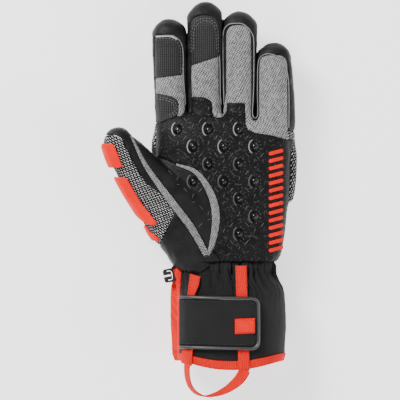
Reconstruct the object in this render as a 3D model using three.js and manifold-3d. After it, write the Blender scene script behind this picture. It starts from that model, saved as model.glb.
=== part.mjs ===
// A ski racing glove for the left hand, lying on its back with the palm up.
// Millimetres. X runs from the thumb side to the little finger, Y from the cuff
// to the fingertips and Z up, out of the palm. The glove is hollow: fingers,
// thumb, hand and cuff are tubes that open into each other and out at the hem.

import * as THREE from 'three';
import { mergeVertices } from 'three/addons/utils/BufferGeometryUtils.js';
import Module from 'manifold-3d';

const wasm = await Module();
wasm.setup();

// Driving dimensions
const wall = 3; // leather, padding and lining together
const seam = 0.3; // gap between two pieces
const roundness = 2.4; // superellipse power of fingers and cuff
const palmRoundness = 3; // the palm is flatter
const seamHeight = 24; // palm side above, back of the hand below
const frontRise = 4.5; // finger fronts start this far above the finger's middle
const leafHeight = 20; // the ball of the thumb's printed side starts here
const patchFloor = 8; // the plain patch at its base starts here
const knitFloor = 6; // the thumb's knit and its side strip start here
const [floor, ceiling] = [-5, 90]; // below and above everything
const [far, top, pastCuff] = [120, 170, -180]; // beyond the sides, the fingertips and the loop

// How many points go round each tube
const pointsRound = { finger: 18, thumb: 20, palm: 32, insideFinger: 12, insideHand: 20 };

// What lies on the hand and the cuff: how far off, and how thick
const webbing = { lift: 0.3, thick: 1.2 };
const strapTab = { lift: 1.8, thick: 2.2 };
const strapEdging = { lift: 1.8, thick: 3, width: 3.2 };
const pullPatch = { lift: 4.3, thick: 1.1 };
const thumbPad = { lift: 0.3, thick: 3.9 };
const handPad = { lift: 0.3, thick: 1.6 };

// Each finger is a tube along Y: x and z of its middle, half its width and
// half its depth. left and right are the slits to its neighbours.
const slits = {
  indexMiddle: { atTips: -9.9, atBase: -9.2 },
  middleRing: { atTips: 17.8, atBase: 18 },
  ringLittle: { atTips: 45.4, atBase: 43.1 },
};
const slitSpan = { base: 64, tips: 130 };
const slitHalf = 0.25;
const tipRise = 0.12; // a tip bends up by this share of its dome
const fingers = {
  index: {
    right: 'indexMiddle', dome: 12,
    rows: [
      { y: 48, x: -21, half: 12, z: 22.5, depth: 13.5 },
      { y: 72, x: -22, half: 12.8, z: 22.5, depth: 14 },
      { y: 92, x: -22.6, half: 13, z: 24.5, depth: 14 },
      { y: 112, x: -23.2, half: 13.5, z: 28, depth: 14 },
      { y: 128.8, x: -23.4, half: 13.6, z: 31.5, depth: 13.4 },
    ],
  },
  middle: {
    left: 'indexMiddle', right: 'middleRing', dome: 14,
    rows: [
      { y: 48, x: 3.4, half: 13.6, z: 22.5, depth: 14 },
      { y: 72, x: 3.5, half: 14, z: 22.5, depth: 14.6 },
      { y: 96, x: 3.8, half: 14.2, z: 25, depth: 14.6 },
      { y: 120, x: 4.2, half: 14.4, z: 29, depth: 14.4 },
      { y: 140, x: 5, half: 14.2, z: 33, depth: 13.6 },
    ],
  },
  ring: {
    left: 'middleRing', right: 'ringLittle', dome: 13.2,
    rows: [
      { y: 48, x: 30.2, half: 13, z: 22.5, depth: 13.6 },
      { y: 72, x: 30.6, half: 13.3, z: 22.5, depth: 14.2 },
      { y: 94, x: 31.2, half: 13.6, z: 24.5, depth: 14.2 },
      { y: 116, x: 31.5, half: 13.7, z: 28, depth: 14 },
      { y: 134.2, x: 31.2, half: 13.2, z: 31.5, depth: 13.2 },
    ],
  },
  little: {
    left: 'ringLittle', dome: 12.8,
    rows: [
      { y: 40, x: 58.6, half: 14.8, z: 22, depth: 13 },
      { y: 62, x: 59.2, half: 15.6, z: 22, depth: 13.4 },
      { y: 80, x: 58.9, half: 15.3, z: 23.5, depth: 13.2 },
      { y: 96, x: 58.4, half: 14.4, z: 26, depth: 13 },
      { y: 110, x: 57.8, half: 13, z: 28.5, depth: 12.4 },
    ],
  },
};

// The hand, from the crotches of the fingers to the wrist. knitLeft and
// knitRight are how far the back of the hand stands out below the palm seam.
const crotchLine = 67.4;
const littleCrotch = 61;
const littleSlit = slits.ringLittle.atBase;
const wristLine = -48.4;
const palmRows = [
  { y: crotchLine, left: -34, right: 73.4, low: 6, high: 39, knitLeft: 0, knitRight: 0.6 },
  { y: 60, left: -34.2, right: 73.4, low: 2.6, high: 42.4, knitLeft: 0.6, knitRight: 1 },
  { y: 54, left: -34, right: 72.6, low: 0.8, high: 44.6, knitLeft: 1.5, knitRight: 1.6 },
  { y: 44, left: -33.8, right: 71.4, low: 0, high: 46, knitLeft: 4, knitRight: 3.6 },
  { y: 36, left: -33.6, right: 70.8, low: 0, high: 46, knitLeft: 3.6, knitRight: 5.4 },
  { y: 18, left: -33, right: 69.9, low: 0, high: 45.5, knitLeft: 0, knitRight: 5.6 },
  { y: 1, left: -32, right: 69.3, low: 0, high: 45, knitLeft: 0, knitRight: 4 },
  { y: -2, left: -31.8, right: 69, low: 0, high: 45, knitLeft: 0, knitRight: 0.4 },
  { y: -12, left: -31, right: 67.8, low: 0, high: 45, knitLeft: 0, knitRight: 0.2 },
  { y: -30, left: -27, right: 65.8, low: 0, high: 45, knitLeft: 0, knitRight: 0 },
  { y: -42, left: -23, right: 63.4, low: 0, high: 44, knitLeft: 0, knitRight: 0 },
  { y: wristLine, left: -20.6, right: 59.6, low: 0.5, high: 43, knitLeft: 0, knitRight: 0 },
];
const backBulge = 1.04; // the back is pressed flat by the table
const knitBulge = { height: 25, blend: 4, power: 4 };

// The cuff, from inside the wrist to the hem. shelf is how far the back half
// stands out on the thumb side, fold the depth of the gathers, droop how much
// further the palm side reaches, lift how far the hem stands off the cuff.
const gathers = 11;
const shelf = { height: 22, blend: 3, power: 3 };
const cuffRows = [
  { y: -44, left: -20, right: 59.5, low: 1, high: 42, shelf: 0, fold: 0.4, droop: 0, lift: 0 },
  { y: -51, left: -18.6, right: 58.4, low: 1.4, high: 41.5, shelf: 1, fold: 1.1, droop: 0, lift: 0 },
  { y: -57, left: -18, right: 57.8, low: 1.6, high: 41.5, shelf: 2.8, fold: 1.3, droop: 0, lift: 0 },
  { y: -62, left: -17.6, right: 60.4, low: 1, high: 43.4, shelf: 4, fold: 1.1, droop: 0, lift: 0 },
  { y: -68, left: -17.2, right: 64, low: 0.4, high: 46.4, shelf: 5, fold: 0.7, droop: 0.3, lift: 0 },
  { y: -76, left: -17, right: 66.4, low: 0, high: 49.4, shelf: 5.6, fold: 0, droop: 1, lift: 0 },
  { y: -95, left: -17, right: 67.3, low: 0, high: 52.2, shelf: 6, fold: 0, droop: 3.4, lift: 0 },
  { y: -117.5, left: -17, right: 66.8, low: 0, high: 53, shelf: 5.4, fold: 0, droop: 6.4, lift: 0 },
];
const hemRows = [
  { y: -118, left: -17, right: 66.7, low: 0, high: 53, shelf: 5.2, fold: 0, droop: 6.4, lift: 0.7 },
  { y: -124.2, left: -16.2, right: 65.6, low: 0.6, high: 52.4, shelf: 4, fold: 0, droop: 7.2, lift: 0.7 },
];
const hemOverlap = 2; // the webbing hangs this far over the hem's edge

// The thumb is a tube along its own axis, from the tip to the ball of the
// thumb inside the hand. along runs down the axis, side off it to the right.
const thumbAxis = { x: -64.4, y: 48.4, lean: 34.7 };
const thumbDome = 10.5;
const thumbRows = [
  { along: 2, side: -0.6, half: 11, z: 37, depth: 12 },
  { along: 14, side: -0.6, half: 13.8, z: 36.5, depth: 14 },
  { along: 30, side: 0, half: 16.8, z: 35, depth: 15.4 },
  { along: 45, side: 1.6, half: 19.6, z: 33, depth: 17 },
  { along: 60, side: 5, half: 24, z: 31, depth: 19.4 },
  { along: 76, side: 5.5, half: 27, z: 29.5, depth: 21 },
  { along: 92, side: 3, half: 23.4, z: 27.6, depth: 21 },
  { along: 106, side: -3, half: 17.2, z: 25, depth: 19 },
  { along: 116, side: -4, half: 13.4, z: 24, depth: 17.4 },
  { along: 124, side: -2.5, half: 10.4, z: 24, depth: 16.8 },
];

// Outlines of the panels, seen from above: each point is x, y and, where the
// corner is round, its radius. The curves run through a few points.
const band = {
  widths: [1.4, 3.8, 5.6, 5.8, 4.6],
  steps: 9,
  through: [[-53.2, 50.4], [-41.2, 26], [-23, 0.4], [-6.2, -21.8], [5.4, -42.8]],
};
const thenar = {
  widths: [1.6, 3.8, 5.6, 6.4, 5, 2.8],
  steps: 10,
  through: [[-18.3, 27.8], [-2.7, 21.5], [8.5, 5.5], [12.8, -12.4], [10.4, -32], [6.4, -43]],
};
const knitEdge = [
  [-66, 50.8], [-60.6, 47.5], [-55.8, 38.5], [-48.1, 23.6], [-39.7, 11.7], [-27.8, 2.7], [-17.9, -8],
];
const thumbCrotch = [-33.2, 33.8];
const leafCorners = [[-25, 31], thumbCrotch, [-40, 52]];
const patchCorner = [-32.9, -38.6];

const outlines = {
  index_tip_patch: [[-35.2, 94.8], [-35.2, 128.4, 3], [-12.7, 128.4, 10], [-12.7, 100.4]],
  index_base_patch: [
    [-36, 83], [-24, 81.2, 3], [-16.2, 78, 4], [-16.2, 66.6, 3], [-30, 59.8], [-36, 56.5],
  ],
  index_front: [
    [-35.2, 106], [-12.3, 106], [-12, 96], [-11.2, 84], [-10.6, 70.2], [-13.6, 66.2],
    [-16.4, 65.4], [-22, 68], [-22, 76], [-36, 76],
  ],
  middle_tip_patch: [[-6.8, 104.6], [-8, 144, 11], [15.9, 144, 11], [15.6, 112]],
  middle_front: [
    [-6.6, 108], [15.4, 118], [15.6, 84], [17.9, 70], [17.9, 65.2], [14.4, 64.2], [11, 65.8],
    [10.4, 68], [10.2, 76.6, 3], [3, 79.8], [-6.4, 80], [-7, 96],
  ],
  ring_front: [
    [20.2, 136.4, 9], [40.6, 136.4, 9], [41, 100], [41, 66], [43.1, 60.8], [43.1, 52.3],
    [37.8, 54.8], [36, 59], [35.8, 75.2, 2], [21.2, 75.4], [20.6, 69], [18.1, 65.2], [18.1, 70],
    [20.2, 84],
  ],
  little_front: [
    [46.4, 113, 8], [69, 113, 8], [69.4, 46.8], [56.2, 50.2], [43.1, 52.3], [43.1, 60.8],
    [45.8, 66], [46, 100],
  ],
  thumb_knit: [
    ...knitEdge.toReversed(), [-90, 50.8], [-90, 20], [-50, -44], patchCorner,
  ],
  thumb_tip: [
    [-90, 70], [-42, 70], [-42, 48], thumbCrotch, [-34, 18], [-16, -4], [-22, -8], [-90, 20],
  ],
  thumb_base_patch: [
    [-17.9, -8], [-12, -14], [16, -46], [16, -60], [-60, -60], patchCorner,
  ],
  palm_panel: [
    [-far, wristLine], [far, wristLine], [far, 47], [69.4, 47], [43.1, 57], [37, 58], [37, 78],
    [20, 78], [20, 66], [12, 66], [12, 82], [-6.2, 82], [-6.2, 69], [-10, 68], [-12, 68.5],
    [-22, 69], [-30, 61.4], [-36, 58], [-far, 57],
  ],
  back_panel: [[-far, wristLine], [far, wristLine], [far, top], [-far, top]],
};
const knuckles = { index: 60, middle: 62, ring: 62, little: 54 };

// What lies on the thumb, hand and cuff
const padFloor = 28;
const padOutlines = {
  thumb_pad_tip: [[-76.1, 44], [-67, 44.2], [-59.6, 25], [-76.1, 25]],
  thumb_pad_base: [
    [-70, 18], [-57, 17.4], [-46.5, -1], [-33, -18.2], [-36.4, -20.6], [-44.4, -17.6], [-70, 6],
  ],
};
const handPadOutline = [[-48, -20], [-42.4, -20.2], [-39, -25.2], [-32, -29.8], [-32, -32.4], [-48, -32]];
const tabSize = { left: -16.4, right: 47.6, low: -116.6, high: -74.6, radius: 8, slant: 1.4, tucked: 9 };
const patchSize = { left: 27.5, right: 43.3, low: -104.1, high: -92, radius: 1, slant: -0.6 };
const rightWebbing = [[27.8, -49], [36.8, -49], [39.4, -140], [30.4, -140]];
const leftWebbing = [
  [-7.5, -57.2], [0.6, -59.6], [-0.4, -66], [-4, -75], [-4.4, -100], [-6.6, -140],
  [-15.6, -140], [-12.8, -100], [-9.9, -75],
];
const leftWebbingFloor = 29;
const sideBinding = {
  low: 3,
  high: 33,
  outline: [[-40, -52.4], [-14.6, -52.4], [-15.8, -76], [-15.8, -130], [-40, -130]],
};

// The loop's webbing, from its right end on the hem round to its left one:
// the middle of its width, and how far it has turned on its edge.
const loopWidth = 9;
const loopRows = [
  { x: 34.7, y: -132.2, z: 54.6, turn: 0 },
  { x: 34, y: -135, z: 54.2, turn: 8 },
  { x: 30.6, y: -139.8, z: 52.6, turn: 24 },
  { x: 25.6, y: -144.4, z: 50.4, turn: 40 },
  { x: 19.4, y: -148.4, z: 48.4, turn: 54 },
  { x: 12, y: -151.4, z: 46.8, turn: 70 },
  { x: 4, y: -152.6, z: 45.6, turn: 90 },
  { x: -3, y: -149.8, z: 44.8, turn: 106 },
  { x: -7.4, y: -144.4, z: 44.6, turn: 114 },
  { x: -9.4, y: -137.6, z: 45, turn: 118 },
  { x: -9.8, y: -131.6, z: 45.6, turn: 120 },
  { x: -9.4, y: -127.2, z: 46.1, turn: 124 },
];

// The hook that joins the pair of gloves: a C with a C-shaped slot in its bar.
// A narrow tape goes round its corner and into the seam of the hand.
const clip = {
  x: -24.2, y: -58.7, z: 25, width: 9.2, length: 11, lean: 11, corner: 2, thick: 2.4,
  rim: 1.3, slot: 1.1, mouth: 1.5, mouthDepth: 5.6,
};
const tape = { width: 2.2, thick: 0.8, x: -21.4, y: -53.9, lean: -36, length: 12 };

// Geometry helpers

const lerp = (a, b, t) => a + (b - a) * t;
const clamp = (v, low, high) => Math.min(high, Math.max(low, v));
const radians = THREE.MathUtils.degToRad;

// A superellipse as [u, v] pairs, u across and v up.
function superellipse(count, power, halfWidth, halfDepth) {
  return Array.from({ length: count }, (_, i) => {
    const angle = (2 * Math.PI * (i + 0.5)) / count;
    const [c, s] = [Math.cos(angle), Math.sin(angle)];
    return [
      halfWidth * Math.sign(c) * Math.abs(c) ** (2 / power),
      halfDepth * Math.sign(s) * Math.abs(s) ** (2 / power),
    ];
  });
}

// A closed body through rings of points, with a cap at each end.
function loft(rings) {
  const count = rings[0].length;
  const points = rings.flat();
  const faces = [];
  for (let r = 0; r + 1 < rings.length; r += 1) {
    for (let i = 0; i < count; i += 1) {
      const [a, b] = [r * count + i, r * count + ((i + 1) % count)];
      faces.push(a, b, a + count, b, b + count, a + count);
    }
  }
  for (const [ring, flip] of [[0, true], [rings.length - 1, false]]) {
    const middle = points.length;
    const centre = rings[ring].reduce((sum, p) => sum.add(p), new THREE.Vector3());
    points.push(centre.divideScalar(count));
    for (let i = 0; i < count; i += 1) {
      const [a, b] = [ring * count + i, ring * count + ((i + 1) % count)];
      faces.push(...(flip ? [middle, b, a] : [middle, a, b]));
    }
  }
  const geometry = new THREE.BufferGeometry().setFromPoints(points);
  geometry.setIndex(faces);
  return solid(geometry);
}

// A closed geometry as a solid, turned right side out.
function solid(geometry) {
  const bare = geometry.clone();
  bare.deleteAttribute('normal');
  bare.deleteAttribute('uv');
  const merged = mergeVertices(bare, 1e-4);
  const build = (triVerts) => new wasm.Manifold(new wasm.Mesh({
    numProp: 3,
    vertProperties: merged.attributes.position.array,
    triVerts,
  }));
  const triVerts = new Uint32Array(merged.index.array);
  const made = build(triVerts);
  return made.volume() > 0 ? made : build(triVerts.toReversed());
}

const together = (solids) => solids.reduce((sum, part) => sum.add(part));
const biggest = (body) => body.decompose().reduce((a, b) => (a.volume() > b.volume() ? a : b));

// An outline with its corners rounded, moved outwards by a distance.
const cornerShare = 0.45; // of an edge, that its rounded corner may take
const mitreLimit = 2.5; // how far a sharp corner may move, in distances
const cornerSteps = 3;

function outlinePoints(corners, outwards = 0) {
  const shape = new THREE.Shape();
  corners.forEach(([x, y, radius], i) => {
    const here = new THREE.Vector2(x, y);
    const towards = (j) => {
      const [otherX, otherY] = corners[(j + corners.length) % corners.length];
      const way = new THREE.Vector2(otherX, otherY).sub(here);
      const reach = Math.min(radius ?? 0, way.length() * cornerShare);
      return here.clone().addScaledVector(way.normalize(), reach);
    };
    const [before, after] = [towards(i - 1), towards(i + 1)];
    if (i === 0) shape.moveTo(before.x, before.y);
    else shape.lineTo(before.x, before.y);
    if (radius) shape.quadraticCurveTo(x, y, after.x, after.y);
  });
  const points = shape.getPoints(cornerSteps);
  const turn = Math.sign(THREE.ShapeUtils.area(points));
  return points.map((p, i) => {
    const before = points[(i + points.length - 1) % points.length];
    const after = points[(i + 1) % points.length];
    const [first, second] = [[before, p], [p, after]].map(
      ([a, b]) => new THREE.Vector2(b.y - a.y, a.x - b.x).normalize(),
    );
    const both = first.clone().add(second).normalize();
    return p.clone().addScaledVector(both, turn * outwards * Math.min(mitreLimit, 1 / both.dot(first)));
  });
}

// A column over an outline. Its bottom is level, or a slope along y.
function column(points, low, high = ceiling) {
  const geometry = new THREE.ExtrudeGeometry(new THREE.Shape(points), { depth: 1, bevelEnabled: false });
  const position = geometry.attributes.position;
  for (let i = 0; i < position.count; i += 1) {
    const bottom = typeof low === 'function' ? low(position.getY(i)) : low;
    position.setZ(i, position.getZ(i) < 0.5 ? bottom : high);
  }
  return solid(geometry);
}

const box = (x0, x1, y0, y1, z0, z1) => column(
  outlinePoints([[x0, y0], [x1, y0], [x1, y1], [x0, y1]]), z0, z1,
);
const spline = (through, divisions) => new THREE.SplineCurve(
  through.map(([x, y]) => new THREE.Vector2(x, y)),
).getPoints(divisions);

// The outline of a strip along a curve, with its widths from start to end.
function strip({ through, widths, steps }) {
  const path = spline(through, steps);
  const side = (sign) => path.map((p, i) => {
    const ahead = path[Math.min(path.length - 1, i + 1)].clone().sub(path[Math.max(0, i - 1)]).normalize();
    const at = (i / (path.length - 1)) * (widths.length - 1);
    const from = Math.min(widths.length - 2, Math.floor(at));
    const half = lerp(widths[from], widths[from + 1], at - from) / 2;
    return [p.x - sign * ahead.y * half, p.y + sign * ahead.x * half];
  });
  return [...side(1), ...side(-1).reverse()];
}

// The tubes of the glove. Offset 0 is the outer surface, minus the wall the
// inner one, and a positive offset carries what lies on top.

const domeSteps = [28, 52, 74].map(radians);
const slitAt = (slit, y) => lerp(
  slits[slit].atBase, slits[slit].atTips, (y - slitSpan.base) / (slitSpan.tips - slitSpan.base),
);

function finger(name, offset) {
  const { rows, dome, left, right } = fingers[name];
  const tip = rows[rows.length - 1];
  const inwards = Math.min(0, offset);
  const stations = [
    ...rows.map((row) => ({ ...row, scale: 1 })),
    ...domeSteps.map((angle) => ({
      ...tip,
      y: tip.y + (dome + offset) * Math.sin(angle),
      z: tip.z + dome * tipRise * Math.sin(angle),
      scale: Math.cos(angle),
    })),
  ];
  const count = inwards ? pointsRound.insideFinger : pointsRound.finger;
  return loft(stations.map((s) => {
    const low = left ? slitAt(left, s.y) + slitHalf - inwards : -Infinity;
    const high = right ? slitAt(right, s.y) - slitHalf + inwards : Infinity;
    return superellipse(count, roundness, (s.half + offset) * s.scale, (s.depth + offset) * s.scale)
      .map(([u, v]) => new THREE.Vector3(clamp(s.x + u, low, high), s.y, s.z + v));
  }));
}

function palm(offset) {
  const inwards = Math.min(0, offset);
  return loft(palmRows.map((row) => {
    const middle = (row.left + row.right) / 2;
    const height = (row.low + row.high) / 2;
    const halfWidth = (row.right - row.left) / 2 + offset;
    const y = row.y === crotchLine ? row.y + inwards : row.y;
    const ring = superellipse(
      inwards ? pointsRound.insideHand : pointsRound.palm, palmRoundness, halfWidth, row.high - height + offset,
    );
    return ring.map(([u, v]) => {
      const z = Math.max(height + (v < 0 ? backBulge * v : v), row.low - offset);
      const below = clamp((knitBulge.height - z) / knitBulge.blend, 0, 1);
      const out = (u < 0 ? -row.knitLeft : row.knitRight) * below * Math.abs(u / halfWidth) ** knitBulge.power;
      return new THREE.Vector3(middle + u + out, y, z);
    });
  }));
}

function cuffTube(rows, offset) {
  const inwards = Math.min(0, offset);
  const count = inwards ? pointsRound.insideHand : 4 * gathers;
  return loft(rows.map((row) => {
    const middle = (row.left + row.right) / 2;
    const height = (row.low + row.high) / 2;
    const off = offset + (inwards ? 0 : row.lift);
    const halfWidth = (row.right - row.left) / 2 + off;
    return superellipse(count, roundness, halfWidth, row.high - height + off).map(([u, v], i) => {
      const fold = inwards ? 0 : row.fold * Math.cos((2 * Math.PI * gathers * i) / count);
      const length = Math.hypot(u, v);
      const z = Math.max(height + v + (fold * v) / length, row.low - inwards);
      const below = clamp((shelf.height - z) / shelf.blend, 0, 1);
      const out = u < 0 ? -row.shelf * below * Math.abs(u / halfWidth) ** shelf.power : 0;
      const share = clamp(z / row.high, 0, 1) ** 2 * (1 - (u / halfWidth) ** 2);
      return new THREE.Vector3(middle + u + (fold * u) / length + out, row.y - row.droop * share, z);
    });
  }));
}

const thumbLean = radians(thumbAxis.lean);
const alongThumb = new THREE.Vector3(Math.sin(thumbLean), -Math.cos(thumbLean), 0);
const acrossThumb = new THREE.Vector3(-alongThumb.y, alongThumb.x, 0);

function thumb(offset) {
  const tip = thumbRows[0];
  const stations = [
    ...domeSteps.toReversed().map((angle) => ({
      ...tip,
      along: tip.along - (thumbDome + offset) * Math.sin(angle),
      scale: Math.cos(angle),
    })),
    ...thumbRows.map((row) => ({ ...row, scale: 1 })),
  ];
  return loft(stations.map((s) => superellipse(
    offset < 0 ? pointsRound.insideFinger : pointsRound.thumb,
    roundness,
    (s.half + offset) * s.scale,
    (s.depth + offset) * s.scale,
  ).map(([u, v]) => new THREE.Vector3(thumbAxis.x, thumbAxis.y, s.z + v)
    .addScaledVector(alongThumb, s.along)
    .addScaledVector(acrossThumb, s.side + u))));
}

// The hand is one hollow body, which the outlines cut into panels.

const pieces = new Map();
const handTubes = (offset) => together([
  palm(offset).subtract(box(littleSlit - slitHalf, littleSlit + slitHalf, littleCrotch, far, floor, ceiling)),
  thumb(offset),
  ...Object.keys(fingers).map((name) => finger(name, offset)),
]);
const pastHem = { ...hemRows[1], y: pastCuff };
const hollow = handTubes(-wall).add(cuffTube([...cuffRows, ...hemRows, pastHem], -wall));
let rest = handTubes(0).subtract(hollow);

// Cuts one panel out of what is left of the hand.
function take(name, outline, low = floor, high = ceiling) {
  const bottom = (grow) => (typeof low === 'function' ? (y) => low(y) - grow : low - grow);
  const half = seam / 2;
  const cut = rest.intersect(column(outlinePoints(outline, -half), bottom(-half), high - half));
  pieces.set(name, biggest(cut));
  rest = rest.subtract(column(outlinePoints(outline, half), bottom(half), high + half));
}

// The slope of a finger, above which its front panels lie.
function frontOf(name) {
  const { rows } = fingers[name];
  const [base, tip] = [rows[1], rows[rows.length - 1]];
  return (y) => lerp(base.z, tip.z, (y - base.y) / (tip.y - base.y)) + frontRise;
}

function takeFingerFronts() {
  for (const panel of [
    'index_tip_patch', 'index_base_patch', 'index_front', 'middle_tip_patch', 'middle_front',
    'ring_front', 'little_front',
  ]) take(panel, outlines[panel], frontOf(panel.split('_')[0]));
}

function takeThumb() {
  take('thumb_band', strip(band), leafHeight);
  take('thenar_band', strip(thenar), leafHeight);
  const edges = [spline(band.through, band.steps), spline(thenar.through, thenar.steps).reverse()];
  take('thumb_leaf', [...edges.flat().map((p) => [p.x, p.y]), ...leafCorners], leafHeight);
  take('thumb_knit', outlines.thumb_knit, knitFloor);
  take('thumb_tip', outlines.thumb_tip, knitFloor);
  take('thumb_base_patch', outlines.thumb_base_patch, patchFloor);
}

function takeFingerBacks() {
  for (const [name, { left, right }] of Object.entries(fingers)) {
    const sideX = (slit, y, open) => (slit ? slitAt(slit, y) : open);
    const base = knuckles[name];
    take(`${name}_back`, [
      [sideX(left, base, -far), base], [sideX(right, base, far), base],
      [sideX(right, top, far), top], [sideX(left, top, -far), top],
    ]);
  }
}

takeFingerFronts();
takeThumb();
take('palm_panel', outlines.palm_panel, seamHeight);
takeFingerBacks();
take('back_panel', outlines.back_panel);

// The cuff, its bindings and what lies on it

const belowWrist = box(-far, far, pastCuff, wristLine - seam, floor, ceiling);
const overWrist = thumb(seam).intersect(box(-far, far, -far, far, patchFloor - seam, ceiling));
const cuffShell = cuffTube(cuffRows, 0).subtract(hollow).subtract(overWrist).intersect(belowWrist);
const bindingColumn = (grow) => column(
  outlinePoints(sideBinding.outline, grow), sideBinding.low - grow, sideBinding.high + grow,
);
pieces.set('side_binding', biggest(cuffShell.intersect(bindingColumn(0))));
pieces.set('cuff', biggest(cuffShell.subtract(bindingColumn(seam))));
pieces.set('hem_binding', biggest(cuffTube(hemRows, 0).subtract(hollow)));

// A layer over the gathers and the hem, cut to an outline.
function layer({ lift, thick }, outline, low) {
  const smooth = cuffRows.slice(1).map((row) => ({ ...row, fold: 0, lift: row.fold }));
  smooth[smooth.length - 1].lift = hemRows[0].lift;
  const over = [...smooth, ...hemRows, { ...hemRows[1], y: hemRows[1].y - hemOverlap }];
  return cuffTube(over, lift + thick).subtract(cuffTube(over, lift))
    .intersect(column(outlinePoints(outline), low));
}

// The loop: a flat ribbon that turns on its edge as it goes round.
function loop() {
  const at = loopRows.map((row) => new THREE.Vector3(row.x, row.y, row.z));
  return loft(loopRows.map(({ turn }, i) => {
    const ahead = at[Math.min(at.length - 1, i + 1)].clone().sub(at[Math.max(0, i - 1)]).setZ(0).normalize();
    const outward = new THREE.Vector3(-ahead.y, ahead.x, 0);
    const across = outward.multiplyScalar(Math.cos(radians(turn))).setZ(Math.sin(radians(turn)));
    const through = across.clone().cross(ahead).multiplyScalar(webbing.thick / 2);
    across.multiplyScalar(loopWidth / 2);
    return [[1, 1], [-1, 1], [-1, -1], [1, -1]].map(([u, v]) => at[i].clone()
      .addScaledVector(across, u).addScaledVector(through, v));
  }));
}

const rectangle = ({ left, right, low, high, radius, slant = 0 }) => [
  [left, low + slant / 2], [right, low - slant / 2, radius],
  [right, high - slant / 2, radius], [left, high + slant / 2],
];

function cuffTrims() {
  const { left, right, low, high, radius, slant, tucked } = tabSize;
  const { width } = strapEdging;
  const inner = (gap) => outlinePoints(rectangle({
    left: left - tucked,
    right: right - width + gap,
    low: low + width - gap,
    high: high - width + gap,
    radius: radius - width,
    slant,
  }));
  pieces.set('strap_tab', biggest(layer(strapTab, rectangle(tabSize), sideBinding.high).intersect(
    column(inner(-seam), floor),
  )));
  pieces.set('strap_edging', biggest(layer(strapEdging, rectangle(tabSize), sideBinding.high).subtract(
    column(inner(0), floor),
  )));
  pieces.set('strap_pull_patch', biggest(layer(pullPatch, rectangle(patchSize), seamHeight)));
  pieces.set('pull_webbing', biggest(together([
    layer(webbing, rightWebbing, seamHeight), layer(webbing, leftWebbing, leftWebbingFloor), loop(),
  ])));
}

cuffTrims();

// The protectors are shells over the thumb's knit.
function pads() {
  const shell = ({ lift, thick }) => thumb(lift + thick).subtract(thumb(lift));
  for (const [name, outline] of Object.entries(padOutlines)) {
    pieces.set(name, biggest(shell(thumbPad).intersect(column(outlinePoints(outline), padFloor))));
  }
  const handColumn = column(outlinePoints(handPadOutline), seamHeight);
  pieces.set('hand_pad', biggest(shell(handPad).intersect(handColumn)));
}

pads();

// The clip is cut from a flat rounded block, and leans to one side.
function clipPieces() {
  const { x, y, z, width, length, lean, corner, thick, rim, slot, mouth, mouthDepth } = clip;
  const [halfWidth, halfLength] = [width / 2, length / 2];
  const block = (inset, low, high) => column(outlinePoints([
    [-halfWidth + inset, -halfLength + inset, corner],
    [halfWidth - inset, -halfLength + inset, corner],
    [halfWidth - inset, halfLength - inset, corner],
    [-halfWidth + inset, halfLength - inset, corner],
  ]), low, high);
  const bar = rim + slot;
  const slotShape = block(rim, -thick, 2 * thick).subtract(block(bar, floor, ceiling))
    .subtract(box(-width, bar - halfWidth, -length, length, floor, ceiling));
  const mouthShape = box(-width, mouthDepth - halfWidth, -mouth / 2, mouth / 2, -thick, 2 * thick);
  const place = (body) => body.rotate([0, 0, lean]).translate([x, y, z]);
  const hook = place(block(0, 0, thick).subtract(slotShape).subtract(mouthShape));
  pieces.set('glove_clip', biggest(hook));

  // A loop round the rim, with its two tails together
  const reach = rim / 2 + seam;
  const round = (gap) => box(
    -tape.width / 2, tape.width / 2, -reach - gap, reach + gap, -seam - gap, thick + seam + gap,
  );
  const middle = thick / 2;
  const tails = box(
    -tape.width / 2, tape.width / 2, reach, tape.length, middle - tape.thick, middle + tape.thick,
  );
  const strap = round(tape.thick).subtract(round(0)).add(tails)
    .rotate([0, 0, tape.lean]).translate([tape.x, tape.y, z]);
  const clearOfGlove = strap.subtract(handTubes(seam)).subtract(cuffTube(cuffRows, seam)).subtract(hook);
  pieces.set('clip_tab', biggest(clearOfGlove));
}

clipPieces();

// Colours, taken from the photographed materials
const cloths = {
  leather: { color: 0x1b1c1e, roughness: 0.5 },
  greyCloth: { color: 0x9a9b9d, roughness: 0.85 },
  gripCloth: { color: 0x3a3b3e, roughness: 0.75 },
  knit: { color: 0x6d6f72, roughness: 0.9 },
  shell: { color: 0x17181a, roughness: 0.7 },
  red: { color: 0xf5452b, roughness: 0.5 },
  plastic: { color: 0x121314, roughness: 0.35 },
};
const clothOf = {
  leather: [
    'palm_panel', 'thumb_leaf', 'thumb_tip', 'thumb_base_patch', 'index_back', 'middle_back',
    'ring_back', 'little_back', 'strap_edging', 'clip_tab',
  ],
  greyCloth: ['index_front', 'middle_front', 'ring_front', 'little_front', 'thumb_band', 'thenar_band'],
  gripCloth: ['index_tip_patch', 'index_base_patch', 'middle_tip_patch'],
  knit: ['thumb_knit', 'back_panel'],
  shell: ['cuff', 'strap_tab'],
  red: [
    'thumb_pad_tip', 'thumb_pad_base', 'hand_pad', 'side_binding', 'hem_binding', 'pull_webbing',
    'strap_pull_patch',
  ],
  plastic: ['glove_clip'],
};

function meshOf(name, body) {
  const { vertProperties, triVerts } = body.getMesh();
  const geometry = new THREE.BufferGeometry();
  geometry.setAttribute('position', new THREE.BufferAttribute(vertProperties, 3));
  geometry.setIndex(new THREE.BufferAttribute(triVerts, 1));
  const cloth = Object.keys(clothOf).find((key) => clothOf[key].includes(name));
  const mesh = new THREE.Mesh(geometry, new THREE.MeshStandardMaterial(cloths[cloth]));
  mesh.name = name;
  return mesh;
}

const glove = new THREE.Group();
for (const [name, body] of pieces) glove.add(meshOf(name, body));

export default glove;
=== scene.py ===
import math

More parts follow.
